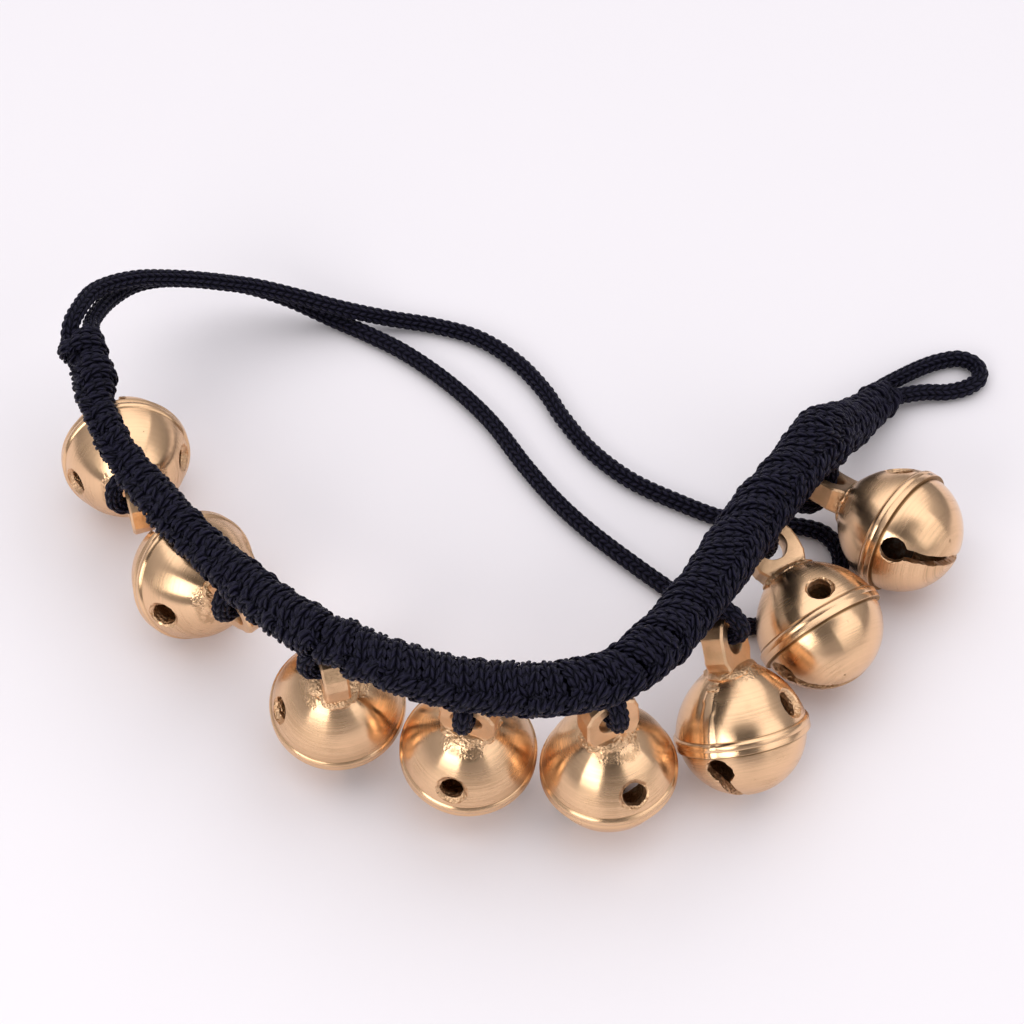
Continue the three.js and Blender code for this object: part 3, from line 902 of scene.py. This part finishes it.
@surface
def black_yarn(graph):
    """Black knitted yarn, with painted shade between the stitches and a painted highlight on the fine
    filaments along their crests.
    """
    cosine, sine, along = graph.parts(graph.attribute("strand"))
    column = graph.math("FRACT", graph.math("DIVIDE", graph.math("ARCTAN2", sine, cosine), math.tau))
    height, count = stitches(graph, column, along, cords().stitch_length)
    leg = graph.joined(X=graph.times(count, FILAMENT_TURNS), Y=graph.times(column, FILAMENT_WIDTHS),
                       Z=graph.times(along, FILAMENT_RATE))
    filaments = graph.noise(leg, FILAMENT_GRAIN)
    clumps = graph.noise(graph.object_place(), CLUMP_GRAIN)
    crest = graph.ramp(height, CREST_SPAN)
    # Painted highlight: filaments on the stitch crests are painted lighter
    light = graph.times(graph.ramp(filaments, FILAMENT_SPAN), graph.linear(clumps, *CLUMP_LIGHT), crest)
    yarn = finishes().yarn
    # Painted shade: the yarn's colour is darker between the stitches, lighter on their crests
    base = graph.mixed(crest, shaded(yarn, CREVICE_SHADE_SHARE), yarn)
    relief = graph.linear(filaments, FILAMENT_RELIEF, graph.times(height, STITCH_RELIEF))
    return {
        "Base Color": graph.mixed(light, base, shaded(yarn, CREST_HIGHLIGHT_SHARE)),
        "Roughness": graph.linear(filaments, *YARN_ROUGHNESS),
        "Specular IOR Level": YARN_SPECULAR,
        "Specular Tint": YARN_SPECULAR_TINT,
        "Sheen Weight": YARN_SHEEN,
        "Sheen Roughness": YARN_SHEEN_ROUGHNESS,
        "Sheen Tint": YARN_SHEEN_TINT,
        "Normal": graph.bump(relief, YARN_BUMP),
    }


# Table
MOTTLE_GRAIN = Grain(9.0, 3.0)
MOTTLE_SHADE = 0.985
FLOOR_ROUGHNESS = 0.65
FLOOR_SPECULAR = 0.2


@surface
def pale_table(graph):
    """Pale matt table."""
    floor = finishes().floor
    mottle = graph.noise(graph.object_place(), MOTTLE_GRAIN)
    return {
        "Base Color": graph.mixed(mottle, floor, shaded(floor, MOTTLE_SHADE)),
        "Roughness": FLOOR_ROUGHNESS,
        "Specular IOR Level": FLOOR_SPECULAR,
    }


# Mesh helpers

def mesh_from(points, faces):
    mesh = bpy.data.meshes.new("shape")
    mesh.from_pydata([tuple(point) for point in points], [], faces)
    return mesh


def outward_mesh(points, faces):
    mesh = mesh_from(points, faces)
    shape = bmesh.new()
    shape.from_mesh(mesh)
    bmesh.ops.recalc_face_normals(shape, faces=shape.faces)
    shape.to_mesh(mesh)
    shape.free()
    return mesh


def ring_angles(sides):
    return [math.tau * k / sides for k in range(sides)]


def around(radius, angle, height):
    return Vector((radius * math.cos(angle), radius * math.sin(angle), height))


def strips(count, sides, closed=False):
    """Faces between neighbours in a row of rings of points, or in a ring of them."""
    faces = []
    for row in range(count if closed else count - 1):
        low = row * sides
        high = (row + 1) % count * sides
        faces += [(low + k, low + (k + 1) % sides, high + (k + 1) % sides, high + k) for k in range(sides)]
    return faces


def turned(profile, sides):
    """Points and faces of a body of revolution about Z, from a profile that starts and ends on the axis."""
    rings = profile[1:-1]
    points = [Vector((0, 0, profile[0][1]))]
    for radius, height in rings:
        points += [around(radius, angle, height) for angle in ring_angles(sides)]
    top = len(points)
    points.append(Vector((0, 0, profile[-1][1])))
    faces = [tuple(corner + 1 for corner in face) for face in strips(len(rings), sides)]
    for k in range(sides):
        after = (k + 1) % sides
        faces.append((0, 1 + after, 1 + k))
        faces.append((top - sides + k, top - sides + after, top))
    return points, faces


def capped(rings):
    """A closed solid through a row of rings of points."""
    sides = len(rings[0])
    points = [point for ring in rings for point in ring]
    ends = [tuple(reversed(range(sides))), tuple(range(len(points) - sides, len(points)))]
    return outward_mesh(points, strips(len(rings), sides) + ends)


def rounded(levels, sides, place):
    """A closed solid of rings: one for each level, with its points at the place of each level and angle."""
    return capped([[place(level, angle) for angle in ring_angles(sides)] for level in levels])


def wander(point, scale, seed):
    """Smooth noise between -1 and 1 at a point in metres."""
    return noise.noise(Vector(point) * scale + seed * SEED_STEP)


def crumbs(point, layers, seeds):
    """Noise in layers, each a (scale, share) pair with its own seed."""
    return sum(share * wander(point, scale, seed) for (scale, share), seed in zip(layers, seeds))


def combine(base, other, operation):
    """Adds a mesh to another or cuts it out. Both are used up, and the result is a new mesh."""
    holders = [add_piece("work", mesh) for mesh in (base, other)]
    modifier = holders[0].modifiers.new("combine", "BOOLEAN")
    modifier.operation = operation
    modifier.solver = "MANIFOLD"
    modifier.object = holders[1]
    result = plain_mesh(holders[0])
    for holder, mesh in zip(holders, (base, other)):
        bpy.data.objects.remove(holder)
        bpy.data.meshes.remove(mesh)
    return result


# Bell shell

def arc(radius, start, end, rows):
    angles = (start + (end - start) * i / rows for i in range(rows + 1))
    return [(radius * math.cos(angle), radius * math.sin(angle)) for angle in angles]


def dome_curve(start):
    """From the rim over the shoulder to the neck."""
    curve = []
    for i in range(DOME_ROWS + 1):
        t = i / DOME_ROWS
        weights = ((1 - t) ** 2, 2 * t * (1 - t), t * t)
        corners = zip(start, DOME_SHOULDER, (NECK_RADIUS, DOME_HEIGHT))
        curve.append(tuple(sum(a * b for a, b in zip(weights, values)) for values in corners))
    return curve


def outer_profile():
    """Outline of the turned body from the pole of the bowl to the crown, with the rim's edges and lines."""
    rim = bells().rim_diameter / 2
    body = rim - BOWL_STEP
    foot = rim - DOME_STEP
    bowl = arc(body, -math.pi / 2, math.asin(-(RIM_LOW + STEP_DEPTH) / body), BOWL_ROWS)
    edge = [
        (body - EDGE_ROUND, -RIM_LOW), (rim - EDGE_ROUND, -RIM_LOW), (rim, EDGE_ROUND - RIM_LOW),
        (rim, -3 * EDGE_ROUND), (rim - EDGE_ROUND / 2, -2 * EDGE_ROUND), (rim, -EDGE_ROUND),
        (rim, RIM_HIGH - DOME_STEP - EDGE_ROUND), (rim - EDGE_ROUND / 2, RIM_HIGH - DOME_STEP + EDGE_ROUND),
        (foot + EDGE_ROUND, RIM_HIGH - EDGE_ROUND / 2), (foot, RIM_HIGH),
        (foot - TURNED_LINE, RIM_HIGH + TURNED_LINE), (foot - TURNED_LINE / 2, RIM_HIGH + 2 * TURNED_LINE),
    ]
    dome = dome_curve((foot - TURNED_LINE, RIM_HIGH + 4 * TURNED_LINE))
    return [(0.0, -body), *bowl[1:], *edge, *dome, (0.0, DOME_HEIGHT)]


def inner_profile():
    """Outline of the cavity from the pole of the bowl to the roof."""
    cavity = bells().rim_diameter / 2 - CAVITY_STEP - WALL
    roof = DOME_HEIGHT - CROWN_WALL
    bowl = arc(cavity, -math.pi / 2, 0.0, CAVITY_ROWS)
    dome = [(cavity * (1 - t * t), roof * t) for t in (i / CAVITY_ROWS for i in range(1, CAVITY_ROWS))]
    return [(0.0, -cavity), *bowl[1:], *dome, (0.0, roof)]


def lug_reach(angle):
    """Distance from the eye's centre to the lug's outline in a direction of the lug's plane."""
    direction = Vector((math.cos(angle), math.sin(angle)))
    corners = [Vector(corner) * MM for corner in LUG_OUTLINE]
    for a, b in zip(corners, corners[1:] + corners[:1]):
        side = b - a
        cross = direction.cross(side)
        if abs(cross) < PARALLEL:
            continue
        reach = a.cross(side) / cross
        share = a.cross(direction) / cross
        if reach > 0 and -CORNER_SLACK <= share <= 1 + CORNER_SLACK:
            return reach
    raise ValueError("the lug's outline doesn't surround its eye")


def lug_mesh(number):
    """Lug plate as a ring about its eye, with worn edges and a thicker foot."""
    eye = EYE_DIAMETER / 2
    half = bells().lug_thickness / 2
    corners = {round(math.atan2(z, x), ANGLE_DIGITS) for x, z in LUG_OUTLINE}
    steps = {round(angle - math.pi, ANGLE_DIGITS) for angle in ring_angles(LUG_STEPS)}
    points = []
    for angle in sorted(corners | steps):
        reach = lug_reach(angle)
        thick = half + LUG_FLARE * max(0.0, -reach * math.sin(angle) - LUG_WAIST)
        front = [
            (eye, half - LUG_BEVEL), (eye + LUG_BEVEL / 2, half), ((eye + reach) / 2, (half + thick) / 2),
            (reach - LUG_BEVEL, thick), (reach, thick - LUG_BEVEL),
        ]
        section = front + [(distance, -depth) for distance, depth in reversed(front)]
        for distance, depth in section:
            point = Vector((distance * math.cos(angle), depth, EYE_HEIGHT + distance * math.sin(angle)))
            way = Vector((math.cos(angle), math.copysign(LUG_SIDE_WEAR, depth), math.sin(angle)))
            points.append(point + LUG_WEAR * wander(point, LUG_WEAR_SCALE, number) * way)
    return outward_mesh(points, strips(len(points) // len(section), len(section), closed=True))


def foot_pad(number):
    """The crumbly mound that the mould left at the foot of the lug."""
    def place(height, angle):
        ball = around(math.sin(height), angle, -math.cos(height))
        spot = Vector(share * size for share, size in zip(ball, PAD_SIZE))
        return spot * (1 + crumbs(spot, PAD_LAYERS, (number, number + FINE_SEED))) + PAD_HEIGHT * UP

    return rounded([math.pi * row / PAD_ROWS for row in range(1, PAD_ROWS)], PAD_SIDES, place)


def round_cutter(way, stations, cut, number, side):
    """A rough round cutter along a way from the bell's centre, through (distance, radius) stations."""
    turn = UP.rotation_difference(way)
    seed = number + cut.seed_step * side
    layers = list(zip(CUTTER_SCALES, (1.0, cut.fine_share)))
    levels = [stations[0]]
    for start, end in zip(stations, stations[1:]):
        shares = (i / CUTTER_ROWS for i in range(1, CUTTER_ROWS + 1))
        levels += [tuple(a + (b - a) * share for a, b in zip(start, end)) for share in shares]

    def place(level, angle):
        distance, radius = level
        rough = crumbs(around(radius, angle, distance), layers, (seed, seed + FINE_SEED))
        return turn @ around(radius + bells().cast_roughness * rough, angle, distance)

    return rounded(levels, CUTTER_SIDES, place)


def hole_cutters(number, side, luck):
    """A round hole in the dome, and its lip, which sits a little aside."""
    way = Vector((0, side * math.cos(HOLE_RISE), math.sin(HOLE_RISE)))
    radius = bells().hole_diameter / 2 * luck.uniform(*HOLE_LUCK)
    lip = radius + luck.uniform(*HOLE_LIP_WIDTH)
    slip = Vector((luck.uniform(-1, 1), 0, luck.uniform(-1, 1))).normalized() * luck.uniform(*HOLE_LIP_SLIP)
    low, high = (CUT_SURFACE - depth for depth in HOLE_LIP_DEPTHS)
    lips = [(low, radius * HOLE_LIP_FOOT), (high, lip), (CUT_OUTSIDE, lip + HOLE_LIP_FLARE)]
    return [
        round_cutter(way, [(CUT_INSIDE, radius), (CUT_OUTSIDE, radius)], HOLE_CUT, number, side),
        round_cutter((way + slip).normalized(), lips, HOLE_LIP_CUT, number, side),
    ]


def slit_end_cutters(number, side):
    """A round end of the slit, and its lip."""
    way = Vector((side * math.cos(SLIT_DROP), 0, -math.sin(SLIT_DROP)))
    radius = bells().slit_end_diameter / 2
    low, high = (CUT_SURFACE - depth for depth in SLIT_LIP_DEPTHS)
    lip = radius + SLIT_LIP_WIDTH
    lips = [(low, radius * SLIT_LIP_FOOT), (high, lip), (CUT_OUTSIDE, radius + SLIT_LIP_FLARE)]
    return [
        round_cutter(way, [(CUT_INSIDE, radius), (CUT_OUTSIDE, radius)], SLIT_END_CUT, number, side),
        round_cutter(way, lips, SLIT_LIP_CUT, number, side),
    ]


def slit_cutter(number):
    """The slit across the bowl, with cast edges that wander."""
    sizes = bells()
    rim = sizes.rim_diameter / 2
    top = -(rim - BOWL_STEP) * math.sin(SLIT_DROP)
    bottom = -rim * SLIT_FLOOR
    rings = []
    for i in range(SLIT_STEPS + 1):
        x = rim * (2 * i / SLIT_STEPS - 1)
        half = sizes.slit_width / 2 * (SLIT_TAPER[0] + SLIT_TAPER[1] * abs(x) / rim)
        left, right = (edge * half + sizes.cast_roughness * crumbs((x, 0, 0), SLIT_LAYERS, (seed, seed))
                       for edge, seed in ((-1, number), (1, number + SLIT_EDGE_SEED)))
        corners = ((left, bottom), (right, bottom), (right, top), (left, top))
        rings.append([Vector((x, y, z)) for y, z in corners])
    return capped(rings)


def rib_rise(point, number):
    """Height of the parting rib, and of the ledge at its top, on the one bell that has it."""
    turn = math.remainder(math.atan2(point.y, point.x) - RIB_ANGLE, math.tau)
    aside = math.hypot(point.x, point.y) * abs(turn)
    if number != RIB_BELL or aside > RIB_HALF_WIDTH or not RIB_FOOT < point.z < RIB_TOP:
        return 0.0
    return LEDGE_RISE if point.z > RIB_TOP - LEDGE_HEIGHT else RIB_RISE


def uneven(point, number):
    """A point of a turned surface, moved out by the casting's slight wobble and by the rib."""
    reach = math.hypot(point.x, point.y)
    if reach < RIB_HALF_WIDTH:
        return point
    share = 1 + (CAST_WOBBLE * wander(point, WOBBLE_SCALE, number) + rib_rise(point, number)) / reach
    return Vector((point.x * share, point.y * share, point.z))


def shell_mesh(number):
    """One cast shell in its own frame: turned body and lug, less the openings."""
    points, faces = turned(outer_profile(), SHELL_SIDES)
    inner_points, inner_faces = turned(inner_profile(), SHELL_SIDES // 2)
    faces += [tuple(corner + len(points) for corner in reversed(face)) for face in inner_faces]
    body = mesh_from([uneven(point, number) for point in points] + inner_points, faces)
    shell = combine(combine(body, lug_mesh(number), "UNION"), foot_pad(number), "UNION")
    luck = random.Random(number)
    for side in (1, -1):
        for cutter in (*hole_cutters(number, side, luck), *slit_end_cutters(number, side)):
            shell = combine(shell, cutter, "DIFFERENCE")
    return combine(shell, slit_cutter(number), "DIFFERENCE")


def is_turned(point, profile, number):
    """Whether a point of a bell lies on its turned surface."""
    spot = Vector((math.hypot(point.x, point.y) - rib_rise(point, number), point.z))
    for start, end in zip(profile, profile[1:]):
        side = end - start
        share = min(max((spot - start).dot(side) / side.length_squared, 0), 1)
        if (start + share * side - spot).length < TURNED_REACH:
            return True
    return False


def finish_shell(mesh, number, centre, turn):
    """Sorts turned faces from cast ones, keeps the bell's own coordinates and sets the shell in its place."""
    mesh.materials.clear()
    mesh.materials.append(turned_brass())
    mesh.materials.append(cast_brass())
    profile = [Vector(corner) for corner in outer_profile()]
    shape = bmesh.new()
    shape.from_mesh(mesh)
    bmesh.ops.remove_doubles(shape, verts=shape.verts, dist=MERGE_REACH)
    own = shape.verts.layers.float_vector.new("bell")
    for vert in shape.verts:
        vert[own] = vert.co
    turning = shape.loops.layers.uv.new("turning")
    for face in shape.faces:
        middle = face.calc_center_median()
        face.smooth = True
        face.material_index = 0 if is_turned(middle, profile, number) else 1
        start = math.atan2(middle.y, middle.x)
        for loop in face.loops:
            corner = loop.vert.co
            angle = start + math.remainder(math.atan2(corner.y, corner.x) - start, math.tau)
            loop[turning].uv = (angle / math.tau, corner.z / (2 * DOME_HEIGHT))
    for edge in shape.edges:
        edge.smooth = len(edge.link_faces) == 2 and edge.calc_face_angle(math.pi) < CREASE
    shape.transform(Matrix.Translation(centre) @ turn.to_matrix().to_4x4())
    shape.to_mesh(mesh)
    shape.free()


# Hitched band

def tucked(along, angle):
    """How far a cord's tucked end lifts the hitches near either end of the band."""
    return sum(rise * math.exp(-((along - place) / reach) ** 2) * max(0.0, math.cos(angle - facing))
               for place, reach, rise, facing in BULGES)


def hitch_path(band, start, end, seed, leans, pitches, rise=0.0):
    """One cord hitched round the band: a helix drawn along the band at a seam, where it crosses itself."""
    luck = random.Random(seed)
    cord = cords().diameter / 2
    path = []
    along = start
    while along < end:
        pitch = between(pitches, along / band.length) * luck.uniform(*PITCH_LUCK)
        lean = between(leans, along / band.length) * luck.uniform(*LEAN_LUCK)
        seam = SEAM_ANGLE + luck.uniform(*SEAM_LUCK)
        height = rise - COVER_THICKNESS / 2 + luck.uniform(*SWELL_LUCK)
        share = luck.uniform(*WIDTH_LUCK) * pitch / cord
        flat = COVER_THICKNESS / 2 / (share * cord)
        for k in range(HITCH_STEPS):
            turn = k / HITCH_STEPS
            drawn = (1 - 2 * min(turn, 1 - turn)) ** DRAW_POWER - DRAW_LEVEL
            place = min(max(along + pitch * turn + lean * drawn, start), end)
            over = math.exp(-((turn - CROSS_TURN) / CROSS_REACH) ** 2)
            under = CROSS_DIP * math.exp(-(turn / CROSS_REACH) ** 2)
            angle = seam + math.tau * turn
            radius = band.radius(place) + height + CROSS_RISE * (over - under) + tucked(place, angle)
            outward = band.facing(place, angle)
            path.append(Knot(band.route.at(place) + radius * outward, share, outward, flat))
        along += pitch
    return even(tuck_ends(path), HITCH_STEP)


def tuck_ends(path):
    """The path again with both its ends sunk into the band."""
    path = list(path)
    for i in range(TUCK_KNOTS):
        for place in (i, -1 - i):
            knot = path[place]
            path[place] = knot._replace(point=knot.point - TUCK_DEPTH * (1 - i / TUCK_KNOTS) * knot.outward)
    return path


def even(path, step):
    """The path again with knots a step apart."""
    result = [path[0]]
    left = step
    for first, last in zip(path, path[1:]):
        gap = (last.point - first.point).length
        done = 0.0
        while gap - done >= left:
            done += left
            share = done / gap
            outward = first.outward.lerp(last.outward, share).normalized()
            radius = first.share + share * (last.share - first.share)
            flat = first.flat + share * (last.flat - first.flat)
            result.append(Knot(first.point.lerp(last.point, share), radius, outward, flat))
            left = step
        left -= gap - done
    return result


# Steps

def aimed(name, data, place):
    """Puts a camera or a lamp at a place, facing the anklet."""
    item = bpy.data.objects.new(name, data)
    item.location = place
    item.rotation_euler = (CAMERA_TARGET - place).to_track_quat("-Z", "Y").to_euler()
    bpy.context.collection.objects.link(item)
    return item


class ANKLET_OT_stage(bpy.types.Operator):
    """Sets up the table, the lights and the camera."""

    bl_idname = "anklet.stage"
    bl_label = "Stage"

    def execute(self, context):
        self.camera(context)
        self.floor()
        self.lamps()
        self.room(context)
        context.scene.view_settings.view_transform = "Standard"
        return {"FINISHED"}

    @staticmethod
    def camera(context):
        data = bpy.data.cameras.new("camera")
        data.lens = CAMERA_LENS
        data.clip_start = CAMERA_CLIP
        context.scene.camera = aimed("camera", data, CAMERA_TARGET + CAMERA_DISTANCE * CAMERA_WAY)

    @staticmethod
    def floor():
        corners = [(x * FLOOR_HALF, y * FLOOR_HALF, 0) for x, y in ((-1, -1), (1, -1), (1, 1), (-1, 1))]
        floor = add_piece("table", mesh_from(corners, [(0, 1, 2, 3)]))
        floor.data.materials.append(pale_table())

    @staticmethod
    def lamps():
        for row in LAMPS:
            data = bpy.data.lights.new(row.name, "AREA")
            data.shape = "RECTANGLE"
            data.size, data.size_y = row.size
            data.energy = row.power
            data.color = row.color
            aimed(row.name, data, Vector(row.place))

    @staticmethod
    def room(context):
        """Pale surroundings, brighter overhead, with a dark onlooker where the photograph was taken from."""
        world = bpy.data.worlds.new("room")
        world.use_nodes = True
        background = next(node for node in world.node_tree.nodes if node.type == "BACKGROUND")
        graph = Graph(world.node_tree)
        way = graph.node("ShaderNodeTexCoord").outputs["Generated"]
        sky = graph.linear(graph.math("MAXIMUM", graph.parts(way)["Z"], 0.0), SKY_RISE, ROOM_LEVEL)
        facing = graph.vector("DOT_PRODUCT", way, CAMERA_WAY, output="Value")
        onlooker = graph.linear(graph.ramp(facing, ONLOOKER_SPAN), -ONLOOKER_SHADE, 1.0)
        graph.fill(background, {"Color": ROOM_COLOR, "Strength": graph.times(sky, onlooker)})
        context.scene.world = world


def lay_cord(name, points, node, inward):
    """A free cord that leaves the end of the band and goes back into it there."""
    line = [Vector(point) * MM for point in points]
    route = Route([line[0] + CORD_TAIL * inward, *line, line[-1] + CORD_TAIL * inward])
    path = route.walk(CORD_STEP)
    piece = knit(name, node, [path], CORD_SIDES)
    tuple(path[0].point)
    [tuple(knot.point) for knot in path]


class ANKLET_OT_tie_cord(bpy.types.Operator):
    """Lays the tie: one knitted cord, doubled back on itself."""

    bl_idname = "anklet.tie_cord"
    bl_label = "Tie Cord"

    def execute(self, context):
        lay_cord("tie_cord_knit", TIE_ROUTE, "tie_cord", Band().route.direction(0))
        return {"FINISHED"}


class ANKLET_OT_closing_loop(bpy.types.Operator):
    """Lays the closing loop at the whipped end."""

    bl_idname = "anklet.closing_loop"
    bl_label = "Closing Loop"

    def execute(self, context):
        band = Band()
        lay_cord("closing_loop_knit", CLOSING_ROUTE, "closing_loop", -band.route.direction(band.length))
        return {"FINISHED"}


class ANKLET_OT_band(bpy.types.Operator):
    """Hitches the cover round the band and binds both its ends."""

    bl_idname = "anklet.band"
    bl_label = "Band"

    def execute(self, context):
        band = Band()
        self.cover(band)
        self.core(band)
        self.bind(band, 0, COLLAR.length - BINDING_GAP, COLLAR, "left_collar_knit", "left_collar_knot")
        start = band.length - WHIPPING.length - BINDING_GAP
        self.bind(band, start, band.length, WHIPPING, "right_whipping_knit", "right_whipping")
        return {"FINISHED"}

    @staticmethod
    def cover(band):
        sizes = cords()
        pitches = (START_PITCH, sizes.hitch_pitch, sizes.hitch_pitch, sizes.tight_pitch, END_PITCH)
        leans = [(place, share * sizes.hitch_lean) for place, share in LEAN_SHARES]
        end = band.length - WHIPPING.length
        path = hitch_path(band, COLLAR.length, end, COVER_SEED, leans, list(zip(PITCH_PLACES, pitches)))
        count = len(path) // COVER_PIECES + 1
        for i in range(COVER_PIECES):
            run = path[i * count:(i + 1) * count + 1]
            knit(f"band_cover_knit_{i + 1}", "band_cover", [run], HITCH_SIDES, twist_seed=COVER_TWIST_SEED)

    @staticmethod
    def core(band):
        count = round(band.length / CORE_STEP)
        strands = []
        for side in (0, math.pi):
            strand = []
            for place in (band.length * i / count for i in range(count + 1)):
                aside = CORE_SPREAD * band.radius(place) * band.facing(place, side)
                strand.append(Knot(band.route.at(place) + aside, CORE_SHARE))
            strands.append(strand)
        knit("band_core_cords", "band_core", strands, CORE_SIDES)

    @staticmethod
    def bind(band, start, end, binding, name, node):
        leans = [(0.0, binding.lean)]
        pitches = [(0.0, binding.pitch)]
        path = hitch_path(band, start, end, binding.seed, leans, pitches, binding.rise)
        knit(name, node, [path], HITCH_SIDES, twist_seed=binding.twist_seed)


class ANKLET_OT_hanging_loops(bpy.types.Operator):
    """Hangs a cord loop through the eye of every bell."""

    bl_idname = "anklet.hanging_loops"
    bl_label = "Hanging Loops"

    def execute(self, context):
        for number, (lie, place) in enumerate(zip(BELL_LIES, bell_places()), start=1):
            loop = f"hanging_loop_{number}"
            knit(f"{loop}_knit", loop, [self.path(lie, *place)], CORD_SIDES, f"bell_{number}")
        return {"FINISHED"}

    @staticmethod
    def path(lie, centre, turn):
        """From inside the band, round the lug's bar and back into the band."""
        lean = math.radians(lie.loop_lean)
        way = Vector((math.sin(lean), math.cos(lean)))
        side = Vector((way.y, -way.x))
        head = max(z for _, z in LUG_OUTLINE) * MM + LUG_HEAD_WEAR
        middle = Vector((0, (head + EYE_DIAMETER / 2) / 2))
        bar = Vector((bells().lug_thickness / 2, head - middle.y))
        clear = bar.x * abs(way.x) + bar.y * abs(way.y) + LUG_FIT + lie.loop_slack * MM + LOOP_SINK
        end = middle + clear * way
        bend = cords().diameter / 2 + LOOP_FIT
        wrap = []
        for i in range(WRAP_STEPS + 1):
            angle = math.pi * i / WRAP_STEPS
            facing = math.cos(angle) * side - math.sin(angle) * way
            corner = Vector((math.copysign(bar.x, facing.x), math.copysign(bar.y, facing.y))) + middle
            wrap.append(corner + bend * facing)
        rises = []
        for spot in (wrap[0], wrap[-1]):
            top = spot + (end - spot).dot(way) * way
            rises.append([top.lerp(end, LOOP_END_DRAW), ((spot + top) / 2).lerp(end, LOOP_SIDE_DRAW)])
        line = [*rises[0], *wrap, *reversed(rises[1])]
        swing = Quaternion((0, 1, 0), math.radians(lie.loop_turn))
        points = [centre + turn @ (swing @ Vector((0, *spot)) + EYE_HEIGHT * UP) for spot in line]
        return Route(points).walk(LOOP_STEP)


class ANKLET_OT_bell_shells(bpy.types.Operator):
    """Casts and turns the brass shells."""

    bl_idname = "anklet.bell_shells"
    bl_label = "Bell Shells"

    def execute(self, context):
        for number, (centre, turn) in enumerate(bell_places(), start=1):
            mesh = shell_mesh(number)
            finish_shell(mesh, number, centre, turn)
            piece = add_piece(f"bell_shell_{number}_turned", mesh)
            settle(piece, f"bell_{number}", f"bell_shell_{number}")
        return {"FINISHED"}


class ANKLET_OT_pellets(bpy.types.Operator):
    """Puts a cast pellet in every bell."""

    bl_idname = "anklet.pellets"
    bl_label = "Pellets"

    def execute(self, context):
        for number, (centre, _) in enumerate(bell_places(), start=1):
            piece = add_piece(f"pellet_{number}_shot", self.ball(number, centre - PELLET_DROP * UP))
            settle(piece, f"clapper_{number}", f"pellet_{number}")
        return {"FINISHED"}

    @staticmethod
    def ball(number, centre):
        shape = bmesh.new()
        bmesh.ops.create_icosphere(shape, subdivisions=PELLET_FINENESS, radius=bells().pellet_diameter / 2)
        for vert in shape.verts:
            vert.co *= 1 - PELLET_SHRINK + PELLET_WOBBLE * wander(vert.co, PELLET_SCALE, number)
            vert.co += centre
        for face in shape.faces:
            face.smooth = True
        mesh = bpy.data.meshes.new("pellet")
        shape.to_mesh(mesh)
        shape.free()
        mesh.materials.append(cast_iron_shot())
        return mesh


# Sidebar and registration

class ANKLET_PT_sidebar(bpy.types.Panel):
    """Lists the steps that build the anklet."""

    bl_idname = "ANKLET_PT_sidebar"
    bl_label = "Ghungroo Anklet"
    bl_space_type = "VIEW_3D"
    bl_region_type = "UI"
    bl_category = "Anklet"

    def draw(self, context):
        for step in STEPS:
            self.layout.operator(step.bl_idname)
        for name in GROUPS:
            group = getattr(context.scene, name)
            box = self.layout.box()
            for size in group.__annotations__:
                box.prop(group, size)


STEPS = (
    ANKLET_OT_stage,
    ANKLET_OT_tie_cord,
    ANKLET_OT_closing_loop,
    ANKLET_OT_band,
    ANKLET_OT_hanging_loops,
    ANKLET_OT_bell_shells,
    ANKLET_OT_pellets,
)
GROUPS = {"anklet_bells": BellSizes, "anklet_cords": CordSizes, "anklet_finishes": Finishes}
CLASSES = (*GROUPS.values(), *STEPS, ANKLET_PT_sidebar)


def register():
    for kind in CLASSES:
        bpy.utils.register_class(kind)
    for name, kind in GROUPS.items():
        setattr(bpy.types.Scene, name, bpy.props.PointerProperty(type=kind))


def unregister():
    for name in GROUPS:
        delattr(bpy.types.Scene, name)
    for kind in reversed(CLASSES):
        bpy.utils.unregister_class(kind)


def main():
    register()
    for step in STEPS:
        family, name = step.bl_idname.split(".")
        getattr(getattr(bpy.ops, family), name)()


if __name__ == "__main__":
    main()
